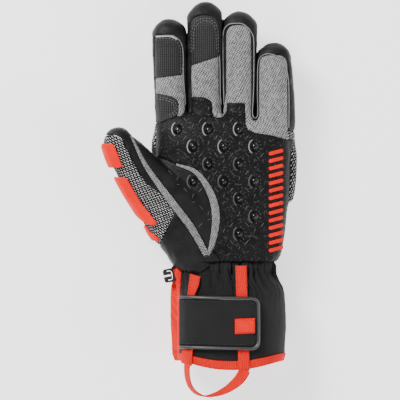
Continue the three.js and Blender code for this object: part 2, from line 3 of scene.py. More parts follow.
import bmesh
import bpy
import numpy as np
from mathutils import Matrix, Vector, noise
from mathutils.bvhtree import BVHTree
from mathutils.kdtree import KDTree


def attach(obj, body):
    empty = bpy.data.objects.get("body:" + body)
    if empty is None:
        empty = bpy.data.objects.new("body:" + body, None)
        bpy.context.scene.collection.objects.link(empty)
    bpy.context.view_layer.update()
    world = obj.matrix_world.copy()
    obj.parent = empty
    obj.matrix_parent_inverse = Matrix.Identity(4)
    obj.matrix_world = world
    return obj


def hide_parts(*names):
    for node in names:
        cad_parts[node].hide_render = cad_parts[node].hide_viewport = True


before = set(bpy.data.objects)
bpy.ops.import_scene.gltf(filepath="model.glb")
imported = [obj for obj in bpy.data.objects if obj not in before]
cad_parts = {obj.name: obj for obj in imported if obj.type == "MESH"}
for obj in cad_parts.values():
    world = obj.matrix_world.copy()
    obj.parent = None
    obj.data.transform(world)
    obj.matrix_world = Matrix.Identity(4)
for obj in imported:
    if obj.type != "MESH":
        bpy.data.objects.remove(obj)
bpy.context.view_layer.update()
mm = 0.001
scene = bpy.context.scene
print("frame loaded")


# Mesh helpers. Sizes are in mm until a mesh is written.

seamWidth = 0.04
weld, sliver = 0.04, 0.02  # closer vertices are joined, and thinner faces dissolved
underAll, overAll = -5, 90  # a column between these heights cuts right through the glove
skinMaterials = [bpy.data.materials.new(name) for name in ("outside", "cut")]


def linked(obj):
    scene.collection.objects.link(obj)
    return obj


def newObject(name, bm):
    mesh = bpy.data.meshes.new(name)
    bm.to_mesh(mesh)
    bm.free()
    return linked(bpy.data.objects.new(name, mesh))


def removeObjects(*objects):
    for obj in objects:
        mesh = obj.data
        bpy.data.objects.remove(obj)
        bpy.data.meshes.remove(mesh)


def modify(obj, kind, **settings):  # adds one modifier and applies it
    modifier = obj.modifiers.new("change", kind)
    for key, value in settings.items():
        setattr(modifier, key, value)
    bpy.context.view_layer.update()
    evaluated = obj.evaluated_get(bpy.context.evaluated_depsgraph_get())
    mesh = bpy.data.meshes.new_from_object(evaluated)
    old = obj.data
    obj.modifiers.clear()
    obj.data = mesh
    bpy.data.meshes.remove(old)


def readAll(items, attribute, width=1, kind=float):
    values = np.empty(len(items) * width, dtype=kind)
    items.foreach_get(attribute, values)
    return values.reshape(-1, width) if width > 1 else values


def coordsOf(obj):
    return readAll(obj.data.vertices, "co", 3) / mm


def setCoords(obj, co):
    obj.data.vertices.foreach_set("co", (co * mm).ravel())
    obj.data.update()


def pushOut(obj, rise):  # moves each vertex along its normal
    normals = readAll(obj.data.vertices, "normal", 3)
    setCoords(obj, coordsOf(obj) + normals * np.reshape(rise, (-1, 1)))


def smooth01(t):
    t = np.clip(t, 0, 1)
    return t * t * (3 - 2 * t)


def noiseAt(co, size, shift=0.0):
    return np.array([noise.noise(Vector(p)) for p in co / size + shift])


def relax(obj, rounds, weight=1.0):  # moves each vertex towards its neighbours
    co = coordsOf(obj)
    a, b = readAll(obj.data.edges, "vertices", 2, int).T
    count = np.maximum(np.bincount(np.concatenate([a, b]), minlength=len(co)), 1)
    share = 0.5 * np.reshape(weight, (-1, 1))
    for _ in range(rounds):
        mean = np.stack([
            np.bincount(a, co[b, k], len(co)) + np.bincount(b, co[a, k], len(co)) for k in range(3)
        ], 1) / count[:, None]
        co += share * (mean - co)
    setCoords(obj, co)


def superellipse(count, power, halfWidth, halfDepth):
    angle = 2 * math.pi * (np.arange(count) + 0.5) / count
    return [half * np.sign(way) * np.abs(way) ** (2 / power)
            for half, way in ((halfWidth, np.cos(angle)), (halfDepth, np.sin(angle)))]


def smoothRows(rows, perSpan=6):  # more rows on a smooth curve through the given ones
    table = np.array(rows, float)
    ends = np.vstack([2 * table[0] - table[1], table, 2 * table[-1] - table[-2]])
    out = []
    for i in range(len(table) - 1):
        p, q, r, s = ends[i:i + 4]
        for t in np.arange(perSpan) / perSpan:
            out.append(0.5 * (2 * q + (r - p) * t + (2 * p - 5 * q + 4 * r - s) * t ** 2
                              + (3 * q - p - 3 * r + s) * t ** 3))
    out.append(table[-1])
    return np.array(out)


def runAlong(path):  # the length from the start to each point
    return np.concatenate([[0], np.cumsum(np.linalg.norm(np.diff(path, axis=0), axis=1))])


def addTube(bm, rings, closed=False):  # bridges rings of points into one closed tube
    loops = []
    for ring in rings:
        made = bmesh.ops.create_circle(bm, segments=len(ring), radius=1)["verts"]
        for vert, point in zip(made, ring):
            vert.co = Vector(point) * mm
        loops.append(list({edge for vert in made for edge in vert.link_edges}))
    pairs = list(zip(loops, loops[1:]))
    if closed:
        pairs.append((loops[-1], loops[0]))
    for a, b in pairs:
        bmesh.ops.bridge_loops(bm, edges=a + b)
    if not closed:
        for loop in (loops[0], loops[-1]):
            bmesh.ops.contextual_create(bm, geom=loop)


def tubeObject(name, rings, closed=False):
    bm = bmesh.new()
    addTube(bm, rings, closed)
    bmesh.ops.recalc_face_normals(bm, faces=bm.faces)
    return newObject(name, bm)


def ringOf(u, v, middle, across=(1, 0, 0), up=(0, 0, 1)):
    return np.array(middle) + np.outer(u, across) + np.outer(v, up)


def roundCorners(corners, steps=4):  # each corner is x, y and, where it is round, its radius
    points = []
    for i, corner in enumerate(corners):
        here = np.array(corner[:2], float)
        radius = corner[2] if len(corner) > 2 else 0
        if not radius:
            points.append(here)
            continue
        ends = []
        for other in (corners[i - 1], corners[(i + 1) % len(corners)]):
            way = np.array(other[:2]) - here
            length = np.linalg.norm(way)
            ends.append(here + way / length * min(radius, 0.45 * length))
        for t in np.linspace(0, 1, steps + 1):
            points.append((1 - t) ** 2 * ends[0] + 2 * t * (1 - t) * here + t * t * ends[1])
    return np.array(points)


def growOutline(outline, by):
    points = np.array(outline, float)
    ahead = np.roll(points, -1, 0) - points
    area = np.sum(points[:, 0] * np.roll(points[:, 1], -1) - np.roll(points[:, 0], -1) * points[:, 1])
    out = np.stack([ahead[:, 1], -ahead[:, 0]], 1) * np.sign(area)
    out /= np.linalg.norm(out, axis=1)[:, None]
    both = out + np.roll(out, 1, 0)
    both /= np.linalg.norm(both, axis=1)[:, None]
    reach = np.minimum(2.5, 1 / np.maximum(0.4, np.sum(both * out, 1)))  # sharp corners stay short
    return points + both * (by * reach)[:, None]


def columnOver(points, low, high=overAll):  # low is a height, or a slope along y
    bm = bmesh.new()
    face = bm.faces.new([bm.verts.new(Vector((x, y, high)) * mm) for x, y in points])
    made = bmesh.ops.extrude_face_region(bm, geom=[face])["geom"]
    for vert in [item for item in made if isinstance(item, bmesh.types.BMVert)]:
        vert.co.z = (low(vert.co.y / mm) if callable(low) else low) * mm
    bmesh.ops.recalc_face_normals(bm, faces=bm.faces)
    for item in bm.faces:
        item.material_index = 1
    return newObject("column", bm)


def markCut(obj, corners=8):  # faces with more corners are a tube's ends, which are no skin
    for material in skinMaterials:
        obj.data.materials.append(material)
    for face in obj.data.polygons:
        face.material_index = int(len(face.vertices) > corners)


def booleanOf(obj, cutter, operation):
    copy = obj.copy()
    copy.data = obj.data.copy()
    modify(linked(copy), "BOOLEAN", object=cutter, operation=operation, solver="MANIFOLD")
    return copy


def without(body, cutter):  # takes both away and returns what the cutter leaves
    made = booleanOf(body, cutter, "DIFFERENCE")
    removeObjects(body, cutter)
    return made


def cutAway(body, outline, low):  # returns the piece inside the outline and what is left
    inside = columnOver(growOutline(outline, -seamWidth / 2), low)
    outside = columnOver(growOutline(outline, seamWidth / 2), low)
    piece = booleanOf(body, inside, "INTERSECT")
    rest = booleanOf(body, outside, "DIFFERENCE")
    removeObjects(inside, outside, body)
    return piece, rest


def skinOf(obj, name):  # keeps the outer surface of a cut piece, and only its largest part
    bm = bmesh.new()
    bm.from_mesh(obj.data)
    bmesh.ops.delete(bm, geom=[face for face in bm.faces if face.material_index == 1], context="FACES")
    bmesh.ops.remove_doubles(bm, verts=bm.verts, dist=weld * mm)
    bmesh.ops.dissolve_degenerate(bm, edges=bm.edges, dist=sliver * mm)
    loose, parts = set(bm.verts), []
    for vert in bm.verts:
        if vert not in loose:
            continue
        loose.discard(vert)
        part = [vert]
        for one in part:  # the list grows while it is read
            for edge in one.link_edges:
                other = edge.other_vert(one)
                if other in loose:
                    loose.discard(other)
                    part.append(other)
        parts.append(part)
    for part in sorted(parts, key=len)[:-1]:
        bmesh.ops.delete(bm, geom=part, context="VERTS")
    removeObjects(obj)
    return newObject(name, bm)


def skinInside(body, outline, low, name):
    piece, rest = cutAway(body, outline, low)
    removeObjects(rest)
    return skinOf(piece, name)


def edgeDistance(obj):  # how far each vertex is from the open border
    uses = np.bincount(readAll(obj.data.loops, "edge_index", kind=int), minlength=len(obj.data.edges))
    border = readAll(obj.data.edges, "vertices", 2, int)[uses == 1]
    co = coordsOf(obj)
    points = np.vstack([co[border[:, 0]], co[border[:, 1]], co[border].mean(1)])
    tree = KDTree(len(points))
    for i, point in enumerate(points):
        tree.insert(point, i)
    tree.balance()
    return np.array([tree.find(point)[2] for point in co])


def rollEdge(obj, depth, width, puff=0.0, reach=9.0):  # turns the edge in and swells the middle
    distance = edgeDistance(obj)
    down = depth * np.clip(1 - distance / width, 0, 1) ** 2
    pushOut(obj, puff * smooth01(distance / reach) - down)


def keepOffTable(obj):
    co = coordsOf(obj)
    co[:, 2] = np.maximum(co[:, 2], 0)
    setCoords(obj, co)


def thicken(obj, wall):  # to the inside
    modify(obj, "SOLIDIFY", thickness=wall * mm, offset=-1, use_rim=True)


pieces, topSkins = {}, []  # the glove's pieces, and the surfaces that trims are laid on


def sew(name, wall, edge):  # rolls the edge in and notes the surface before it gets its wall
    piece = pieces[name]
    rollEdge(piece, *edge)
    keepOffTable(piece)
    topSkins.append((name, coordsOf(piece), [face.vertices[:] for face in piece.data.polygons]))
    thicken(piece, wall)


def setUvs(obj, u, v, period=None):  # in cm, so that a weave follows the surface
    mesh = obj.data
    corner = readAll(mesh.loops, "vertex_index", kind=int)
    across, along = u[corner], v[corner]
    if period is not None:  # no face runs back over the whole width
        start, total = (readAll(mesh.polygons, key, kind=int) for key in ("loop_start", "loop_total"))
        high = np.repeat(np.maximum.reduceat(across, start), total)
        turn = period[corner]
        across += np.where(high - across > turn / 2, turn, 0)
    layer = mesh.uv_layers.get("UVMap") or mesh.uv_layers.new(name="UVMap")
    layer.data.foreach_set("uv", (np.stack([across, along], 1) / 10).ravel())


# The hand: one closed skin from tubes, as in the solids

slits = {"indexMiddle": (-9.9, -9.2), "middleRing": (17.8, 18), "ringLittle": (45.4, 43.1)}
slitSpan = (130, 64)
fingers = {  # rows: y, x, half width, z, half depth
    "index": {
        "dome": 14.4, "left": None, "right": "indexMiddle",
        "rows": [(48, -21, 12, 22.5, 13.5), (72, -22, 12.8, 22.5, 14), (92, -22.6, 13, 24.5, 14),
                 (112, -23.2, 13.5, 28, 14), (127, -23.4, 13.8, 31.5, 13.4)],
    },
    "middle": {
        "dome": 20.8, "left": "indexMiddle", "right": "middleRing",
        "rows": [(48, 3.4, 13.6, 22.5, 14), (72, 3.5, 14, 22.5, 14.6), (96, 3.8, 14.2, 25, 14.6),
                 (118, 4.1, 14.8, 28.6, 14.4), (134, 4.8, 15.1, 31.8, 13.8)],
    },
    "ring": {
        "dome": 15, "left": "middleRing", "right": "ringLittle",
        "rows": [(48, 30.2, 13, 22.5, 13.6), (72, 30.6, 13.3, 22.5, 14.2), (94, 31.2, 13.6, 24.5, 14.2),
                 (116, 31.5, 13.9, 28, 14), (132.4, 31.2, 13.8, 31.5, 13.2)],
    },
    "little": {
        "dome": 13.6, "left": "ringLittle", "right": None,
        "rows": [(40, 58.6, 14.8, 22, 13), (62, 59.2, 15.6, 22, 13.4), (80, 58.9, 15.3, 23.5, 13.2),
                 (96, 58.6, 14.6, 26, 13), (109.2, 58.2, 13.6, 28.5, 12.4)],
    },
}
palmRows = [  # y, left, right, low, high, knit left and right
    (67.4, -34, 73.4, 6, 39, 0, 0.6), (60, -34.2, 73.4, 2.6, 42.4, 0.6, 1),
    (54, -34, 72.6, 0.8, 44.6, 1.5, 1.6), (44, -33.8, 71.4, 0, 46, 4, 3.6),
    (36, -33.6, 70.8, 0, 46, 3.6, 5.4), (18, -33, 69.9, 0, 45.5, 0, 5.6),
    (1, -32, 69.3, 0, 45, 0, 4), (-2, -31.8, 69, 0, 45, 0, 0.4), (-12, -31, 67.8, 0, 45, 0, 0.2),
    (-30, -27, 65.8, 0, 45, 0, 0), (-42, -23, 63.4, 0, 44, 0, 0), (-48.4, -20.6, 59.6, 0.5, 43, 0, 0),
]
thumbAxis = {"x": -64.4, "y": 48.4, "lean": math.radians(34.7), "dome": 10.5}
thumbRows = [  # along, side, half, z, depth
    (2, -0.6, 11, 37, 12), (14, -0.6, 13.8, 36.5, 14), (30, 0, 16.8, 35, 15.4), (45, 1.6, 19.6, 33, 17),
    (60, 5, 24, 31, 19.4), (76, 5.5, 27, 29.5, 21), (92, 3, 23.4, 27.6, 21), (106, -3, 17.2, 25, 19),
    (116, -4, 13.4, 24, 17.4), (124, -2.5, 10.4, 24, 16.8),
]
bodyLook = {
    "roundness": 2.4, "palmRoundness": 3, "backBulge": 1.04, "tipRise": 0.12, "bulgeHeight": 15,
    "openSlit": 1.25, "closedSlit": 0.3, "slitReach": 4.5, "seamHeight": 24, "tableBlend": 1.5,
    "crotch": 67.4, "littleCrotch": 62, "fingerSides": 48, "palmSides": 96, "thumbSides": 56,
    "voxel": 0.95, "relaxRounds": 6, "crotchRounds": 100, "crotchReach": 7, "crotchFloor": 28,
    "blend": 4,
}
thumbOrigin = np.array([thumbAxis["x"], thumbAxis["y"], 0])
alongThumb = np.array([math.sin(thumbAxis["lean"]), -math.cos(thumbAxis["lean"]), 0])
acrossThumb = np.array([-alongThumb[1], alongThumb[0], 0])
domeAngles = np.radians([12, 24, 36, 48, 58, 68, 77, 84])


def slitAt(name, y):
    tips, base = slits[name]
    return base + (tips - base) * (y - slitSpan[1]) / (slitSpan[0] - slitSpan[1])


def fingerRings(name):
    finger = fingers[name]
    rows = [(*row, 1) for row in smoothRows(finger["rows"])]
    y, x, half, z, depth, _ = rows[-1]
    for angle in domeAngles:
        rise = finger["dome"] * math.sin(angle)
        rows.append((y + rise, x, half, z + bodyLook["tipRise"] * rise, depth, math.cos(angle)))
    rings = []
    for y, x, half, z, depth, scale in rows:
        u, v = superellipse(bodyLook["fingerSides"], bodyLook["roundness"], half * scale, depth * scale)
        ring = ringOf(u, v, (x, y, z))
        if finger["left"]:
            ring[:, 0] = np.maximum(ring[:, 0], slitAt(finger["left"], y) + bodyLook["openSlit"])
        if finger["right"]:
            ring[:, 0] = np.minimum(ring[:, 0], slitAt(finger["right"], y) - bodyLook["openSlit"])
        rings.append(ring)
    return rings


def palmRings():
    rings = []
    for y, left, right, low, high, knitLeft, knitRight in smoothRows(palmRows, 4):
        middle, height, half = (left + right) / 2, (low + high) / 2, (right - left) / 2
        u, v = superellipse(bodyLook["palmSides"], bodyLook["palmRoundness"], half, high - height)
        z = np.maximum(height + np.where(v < 0, bodyLook["backBulge"] * v, v), low)
        below = np.clip((bodyLook["seamHeight"] + 1 - z) / bodyLook["blend"], 0, 1)
        out = np.where(u < 0, -knitLeft, knitRight) * below * np.abs(u / half) ** 4
        rings.append(np.stack([middle + u + out, np.full(len(u), y), z], 1))
    return rings


def thumbRings():
    rows = [(*row, 1) for row in smoothRows(thumbRows)]
    along, side, half, z, depth, _ = rows[0]
    for angle in domeAngles:
        rows.insert(0, (along - thumbAxis["dome"] * math.sin(angle), side, half, z, depth, math.cos(angle)))
    rings = []
    for along, side, half, z, depth, scale in rows:
        u, v = superellipse(bodyLook["thumbSides"], bodyLook["roundness"], half * scale, depth * scale)
        middle = thumbOrigin + (0, 0, z) + alongThumb * along + acrossThumb * side
        rings.append(ringOf(u, v, middle, acrossThumb))
    return rings


def onThumb(co):  # how far along the thumb's axis, and how far across it
    return (co - thumbOrigin) @ alongThumb, (co - thumbOrigin) @ acrossThumb


def notchedPalm():  # the slit beside the little finger runs on into the hand
    middle, half, base = slits["ringLittle"][1], bodyLook["openSlit"], bodyLook["littleCrotch"]
    left, right, beyond = middle - half, middle + half, 90
    notch = columnOver([(left, base), (right, base), (right, beyond), (left, beyond)], underAll)
    return without(tubeObject("palmTube", palmRings()), notch)


def makeBody():
    look = bodyLook
    palm = notchedPalm()
    bm = bmesh.new()
    for rings in (thumbRings(), *[fingerRings(name) for name in fingers]):
        addTube(bm, rings)
    bmesh.ops.recalc_face_normals(bm, faces=bm.faces)
    bm.from_mesh(palm.data)
    removeObjects(palm)
    body = newObject("body", bm)
    modify(body, "REMESH", mode="VOXEL", voxel_size=look["voxel"] * mm)
    relax(body, look["relaxRounds"])
    _, y, z = coordsOf(body).T
    nearCrotch = np.exp(-((y - look["crotch"] + 1) / look["crotchReach"]) ** 2)
    relax(body, look["crotchRounds"], nearCrotch * smooth01((z - look["crotchFloor"]) / look["blend"]))
    co = coordsOf(body)
    open_, closed, reach = look["openSlit"], look["closedSlit"], look["slitReach"]
    for name in slits:  # the fingers touch again
        away = co[:, 0] - slitAt(name, y)
        base = look["littleCrotch" if name == "ringLittle" else "crotch"]
        near = np.abs(away)
        moved = np.where(near < open_, near * closed / open_,
                         closed + (near - open_) * (reach - closed) / (reach - open_))
        blend = smooth01((y - base + 3) / look["blend"]) * (near < reach)
        co[:, 0] += np.sign(away) * (moved - near) * blend
    setCoords(body, co)
    return body


body = makeBody()
print("hand body", len(body.data.vertices))


# Leather and cloth never lie quite even. Folds are pushed into the skin
# before it is cut, so that they run on over the seams.

folds = {  # size, height, and how the noise is shifted and stretched
    "swell": (16, 0.4, 0, (1, 1, 1)), "dent": (6.5, 0.22, 11.3, (1, 1, 1)),
    "crease": (3.4, 0.1, 22.6, (1, 1, 1)), "finger": (4.2, 0.42, 5.1, (0.35, 1, 0.6)),
    "thumb": (5.2, 0.38, 2.2, (0.4, 1, 0.5)), "wrist": (6, 0.7, 9.4, (1.6, 0.4, 1)),
    "cuffSwell": (13, 0.5, 4.4, (1, 0.6, 1)), "cuffDent": (5, 0.2, 8.8, (1, 1, 1)),
}
foldZones = {  # where the folds begin, and over what length they grow to their full height
    "fingerBase": (58, 14), "fingerTip": (158, -30), "fingerFront": (20, 10), "thumbSide": (20, -16),
    "thumbRoot": (100, -40), "thumbTip": (0, 20), "wrist": (-26, -20), "hem": (-118, 6),
}


def foldRise(spots, key):
    size, height, shift, stretch = folds[key]
    return height * noiseAt(spots * np.array(stretch), size, shift)


def zoneShare(values, key):
    start, over = foldZones[key]
    return smooth01((values - start) / over)


def offTable(z):  # the table keeps the glove's back flat
    return np.clip(z / bodyLook["tableBlend"], 0, 1)


def wrinkleBody(obj):
    co = coordsOf(obj)
    _, y, z = co.T
    along, side = onThumb(co)
    onFingers = zoneShare(y, "fingerBase") * zoneShare(y, "fingerTip") * zoneShare(z, "fingerFront")
    nearThumb = zoneShare(side, "thumbSide") * zoneShare(along, "thumbRoot") * zoneShare(along, "thumbTip")
    rise = foldRise(co, "swell") + foldRise(co, "dent") + foldRise(co, "crease")
    rise += foldRise(co, "finger") * onFingers
    rise += foldRise(np.stack([side, along, z], 1), "thumb") * nearThumb
    rise += foldRise(co, "wrist") * zoneShare(y, "wrist")
    pushOut(obj, rise * offTable(z))


wrinkleBody(body)
markCut(body)

# Panels, as they are cut from the skin: outlines seen from above

seamRise = 4.5
levels = {"leaf": 20, "patch": 8, "knit": 6, "palm": 24, "all": underAll}
knuckles = {"index": 60, "middle": 62, "ring": 62, "little": 54}
far, top = 120, 175
wristLine = -48.4
band = {
    "widths": [1.4, 3.8, 5.6, 5.8, 4.6],
    "through": [(-53.2, 50.4), (-41.2, 26), (-23, 0.4), (-6.2, -21.8), (5.4, -42.8)],
}
thenar = {
    "widths": [1.6, 3.8, 5.6, 6.4, 5, 2.8],
    "through": [(-18.3, 27.8), (-2.7, 21.5), (8.5, 5.5), (12.8, -12.4), (10.4, -32), (6.4, -43)],
}
knitEdge = [(-17.9, -8), (-27.8, 2.7), (-39.7, 11.7), (-48.1, 23.6), (-55.8, 38.5), (-60.6, 47.5),
            (-66, 50.8)]
thumbCrotch = (-33.2, 33.8)
patchCorner = (-32.9, -38.6)
leafTop = [(-25, 31), thumbCrotch, (-40, 52)]
knitSide = [(-90, 50.8), (-90, 20), (-50, -44), patchCorner]
thumbTip = [(-90, 70), (-42, 70), (-42, 48), thumbCrotch, (-34, 18), (-16, -4), (-22, -8), (-90, 20)]
thumbBase = [(-17.9, -8), (-12, -14), (16, -46), (16, -60), (-60, -60), patchCorner]
fingerPanels = {
    "index_tip_patch": [(-35.2, 94.8), (-35.2, 127.4, 3), (-13.4, 127.4, 10), (-13.2, 97.6)],
    "index_base_patch": [(-36, 83), (-24, 81.2, 3), (-16.2, 78, 4), (-16.2, 66.6, 3), (-29.4, 60.8),
                         (-36, 58)],
    "index_front": [(-35.2, 106), (-12.3, 106), (-12, 96), (-11.2, 84), (-10.6, 70.2), (-13.6, 66.2),
                    (-16.4, 65.4), (-22, 68), (-22, 76), (-36, 76)],
    "middle_tip_patch": [(-6.8, 104.6), (-8, 144, 11), (15.9, 144, 11), (15.6, 112)],
    "middle_front": [(-6.6, 108), (15.4, 118), (15.6, 84), (17.9, 70), (17.9, 65.2), (14.4, 64.2),
                     (11, 65.8), (10.4, 68), (10.2, 76.6, 3), (3, 79.8), (-6.4, 80), (-7, 96)],
    "ring_front": [(20.2, 136.4, 9), (40.6, 136.4, 9), (41, 100), (41, 65), (42.4, 62.4), (44.4, 62.4),
                   (45.8, 65), (46, 100), (46.4, 113, 8), (69, 113, 8), (69.4, 46.8), (56.2, 50.2),
                   (43.1, 52.3), (37.8, 54.8), (36, 59), (35.8, 75.2, 2), (21.2, 75.4), (20.6, 69),
                   (18.1, 65.2), (18.1, 70), (20.2, 84)],  # with the little finger's, which it runs into
}
palmOutline = [
    (-far, wristLine), (far, wristLine), (far, 47), (69.4, 47), (43.1, 57), (37, 58), (37, 78), (20, 78),
    (20, 66), (12, 66), (12, 82), (-6.2, 82), (-6.2, 69), (-10, 68), (-12, 68.5), (-22, 69), (-30, 63),
    (-36, 60.5), (-far, 60.5),
]


def stripOutline(piece):  # a band along a curve, with its widths from start to end
    path = smoothRows(piece["through"], 8)
    ahead = np.gradient(path, axis=0)
    ahead /= np.linalg.norm(ahead, axis=1)[:, None]
    widths = piece["widths"]
    half = np.interp(np.linspace(0, 1, len(path)), np.linspace(0, 1, len(widths)), widths) / 2
    side = np.stack([-ahead[:, 1], ahead[:, 0]], 1) * half[:, None]
    return np.vstack([path + side, (path - side)[::-1]])


def frontOf(name):  # the height of a finger front's seam, along y
    rows = fingers[name]["rows"]
    base, tip = rows[1], rows[-1]
    return lambda y: base[3] + (tip[3] - base[3]) * (y - base[0]) / (tip[0] - base[0]) + seamRise


def fingerBack(name):
    def corner(side, y):
        slit = fingers[name][side]
        return slitAt(slit, y) if slit else {"left": -far, "right": far}[side], y

    base = knuckles[name]
    return [corner("left", base), corner("right", base), corner("right", top), corner("left", top)]


def cutPanels(rest):
    bandPath, thenarPath = smoothRows(band["through"], 8), smoothRows(thenar["through"], 8)
    leaf = np.vstack([bandPath, thenarPath[::-1], leafTop])
    knit = np.vstack([smoothRows(knitEdge), knitSide])
    plan = [(name, frontOf(name.split("_")[0]), roundCorners(corners))
            for name, corners in fingerPanels.items()]
    plan += [(name, levels[level], outline) for name, level, outline in (
        ("thumb_band", "leaf", stripOutline(band)), ("thenar_band", "leaf", stripOutline(thenar)),
        ("thumb_leaf", "leaf", leaf), ("thumb_knit", "knit", knit), ("thumb_tip", "knit", thumbTip),
        ("thumb_base_patch", "patch", thumbBase), ("palm_panel", "palm", palmOutline),
        *((f"{finger}_back", "all", fingerBack(finger)) for finger in fingers),
        ("back_panel", "all", [(-far, wristLine), (far, wristLine), (far, top), (-far, top)]),
    )]
    for name, low, outline in plan:
        piece, rest = cutAway(rest, outline, low)
        pieces[name] = skinOf(piece, name + "_piece")
    removeObjects(rest)


cutPanels(body)
print("panels", {name: len(obj.data.polygons) for name, obj in pieces.items()})

panelEdges = {  # how deep the edge turns in, over what width, and how far the middle swells
    "palm_panel": (0.8, 1.8, 0), "thumb_leaf": (0.9, 2, 0.3), "thumb_tip": (0.3, 1.4, 0),
    "thumb_base_patch": (0.8, 1.8, 0.2), "thumb_knit": (1.2, 2, 0.4), "back_panel": (0.9, 2, 0.4),
    "thumb_band": (0.25, 1.2, 0.5), "thenar_band": (0.25, 1.2, 0.5),
    "index_front": (0.8, 1.6, 0.3), "middle_front": (0.8, 1.6, 0.3), "ring_front": (0.9, 1.8, 0.3),
    "index_tip_patch": (0.5, 1.4, 0.5), "middle_tip_patch": (0.5, 1.4, 0.5),
    "index_base_patch": (0.5, 1.2, 0.4), "index_back": (0.9, 2, 0), "middle_back": (0.9, 2, 0),
    "ring_back": (0.9, 2, 0), "little_back": (0.9, 2, 0),
}
panelWall = 1.5

for name, edge in panelEdges.items():
    sew(name, panelWall, edge)
print("panels sewn")


# The cuff: a gathered tube, its red edges, and what lies on it

cuffLook = {
    "around": 520, "lengthStep": 1.1, "shelfHeight": 22, "shelfBlend": 3, "wall": 1.4, "roundness": 2.4,
    "tuck": 4, "edge": (0.5, 1.2), "bindingEdge": (0.5, 1.2, 0.5, 3),
}
gathers = {  # wide folds with fine pleats on them, each with its count, height and how far it drifts
    "wide": (17, 0.45, 3.2), "fine": (52, 0.9, 5), "evenShare": 0.45, "least": 0.1, "crumple": 0.6,
}
cuffRows = [  # y, left, right, low, high, shelf, fold, droop, lift
    (-42, -17.6, 56.6, 4, 38.4, 0, 0, 0, 0), (-46, -17.8, 57, 3, 39.2, 0, 0.3, 0, 0),
    (-51, -18.6, 58.4, 1.4, 41.5, 1, 1.6, 0, 0), (-57, -18, 57.8, 1.6, 41.5, 2.8, 2, 0, 0),
    (-62, -17.6, 60.4, 1, 43.4, 4, 1.7, 0, 0), (-68, -17.2, 64, 0.4, 46.4, 5, 1.1, 0.3, 0),
    (-76, -17, 66.4, 0, 49.4, 5.6, 0.2, 1, 0), (-95, -17, 67.3, 0, 52.2, 6, 0, 3.4, 0),
    (-119.6, -17, 66.6, 0, 53, 5.2, 0, 6.6, 0),
]
hemRows = [
    (-119, -17, 66.6, 0, 53, 5.2, 0, 6.5, 0.7), (-121, -16.7, 66.3, 0.2, 52.8, 4.6, 0, 6.8, 0.8),
    (-124.2, -16.2, 65.6, 0.6, 52.4, 4, 0, 7.2, 0.7),
]


def gatherWave(angle, y):  # how far the gathered cloth stands out
    circle = np.stack([np.cos(angle), np.sin(angle), np.full(len(angle), y)], 1)

    def grain(around, along, shift=0.0):
        return noiseAt(circle * np.array([around, around, 1 / along]), 1, shift)

    count, height, drift = gathers["wide"]
    wave = height * np.sin(count * angle + drift * grain(2.2, 14))
    count, height, drift = gathers["fine"]
    depth = np.clip(gathers["evenShare"] + height * grain(4, 40, 3.1), gathers["least"], 1)
    wave += depth * np.sin(count * angle + drift * grain(3, 9, 7.7))
    return wave + gathers["crumple"] * grain(9, 9)


def cuffRings(rows, offset=0.0, step=cuffLook["lengthStep"]):
    rows = np.array(rows, float)
    spans = smoothRows(rows, 12)
    count = max(2, int(abs(rows[-1, 0] - rows[0, 0]) / step))
    ys = np.linspace(rows[0, 0], rows[-1, 0], count)
    table = [np.interp(-ys, -spans[:, 0], spans[:, k]) for k in range(9)]
    rings = []
    for y, left, right, low, high, shelf, fold, droop, lift in np.array(table).T:
        middle, height = (left + right) / 2, (low + high) / 2
        off = offset + lift
        half = (right - left) / 2 + off
        u, v = superellipse(cuffLook["around"], cuffLook["roundness"], half, high - height + off)
        length = np.hypot(u, v)
        wave = fold * gatherWave(np.arctan2(v, u), y) if fold else 0
        z = np.maximum(height + v + wave * v / length, max(low - max(offset, 0), 0))
        below = np.clip((cuffLook["shelfHeight"] - z) / cuffLook["shelfBlend"], 0, 1)
        out = np.where(u < 0, -shelf * smooth01(below) * np.abs(u / half) ** 3, 0)
        share = np.clip(z / high, 0, 1) ** 2 * (1 - np.minimum(1, np.abs(u / half)) ** 2)
        rings.append(np.stack([middle + u + wave * u / length + out, y - droop * share, z], 1))
    return rings


def makeCuffTube():
    tube = tubeObject("cuffTube", cuffRings(cuffRows))
    co = coordsOf(tube)
    rise = foldRise(co, "cuffSwell") + foldRise(co, "cuffDent")
    pushOut(tube, rise * (zoneShare(co[:, 1], "hem") * offTable(co[:, 2])))
    markCut(tube)
    return tube


sideBinding = {
    "outline": [(-40, -52.4), (-14.6, -52.4), (-15.8, -76), (-15.8, -130), (-40, -130)],
    "low": 3, "high": 37, "overlap": 0.3,  # it runs on over the cuff's edge
}


def makeCuff():
    thumb = tubeObject("thumbTube", thumbRings())
    pushOut(thumb, 0.3)
    markCut(thumb, 0)
    start = wristLine + cuffLook["tuck"]  # how far the cuff reaches into the hand
    wristCut = [(-far, start), (far, start), (far, -180), (-far, -180)]
    whole, rest = cutAway(without(makeCuffTube(), thumb), wristCut, underAll)
    removeObjects(rest)
    for name, operation, by in (
        ("side_binding", "INTERSECT", sideBinding["overlap"]), ("cuff", "DIFFERENCE", seamWidth),
    ):
        outline = growOutline(sideBinding["outline"], by)
        column = columnOver(outline, sideBinding["low"] - by, sideBinding["high"] + by)
        pieces[name] = skinOf(booleanOf(whole, column, operation), name + "_piece")
        removeObjects(column)
    removeObjects(whole)
    sew("cuff", cuffLook["wall"], cuffLook["edge"])
    sew("side_binding", cuffLook["wall"], cuffLook["bindingEdge"])


makeCuff()
print("cuff", len(pieces["cuff"].data.polygons))

hemLook = {"thick": 3.2, "bulge": 1.3, "step": 1.0, "angles": (30, 60, 90, 120, 150)}


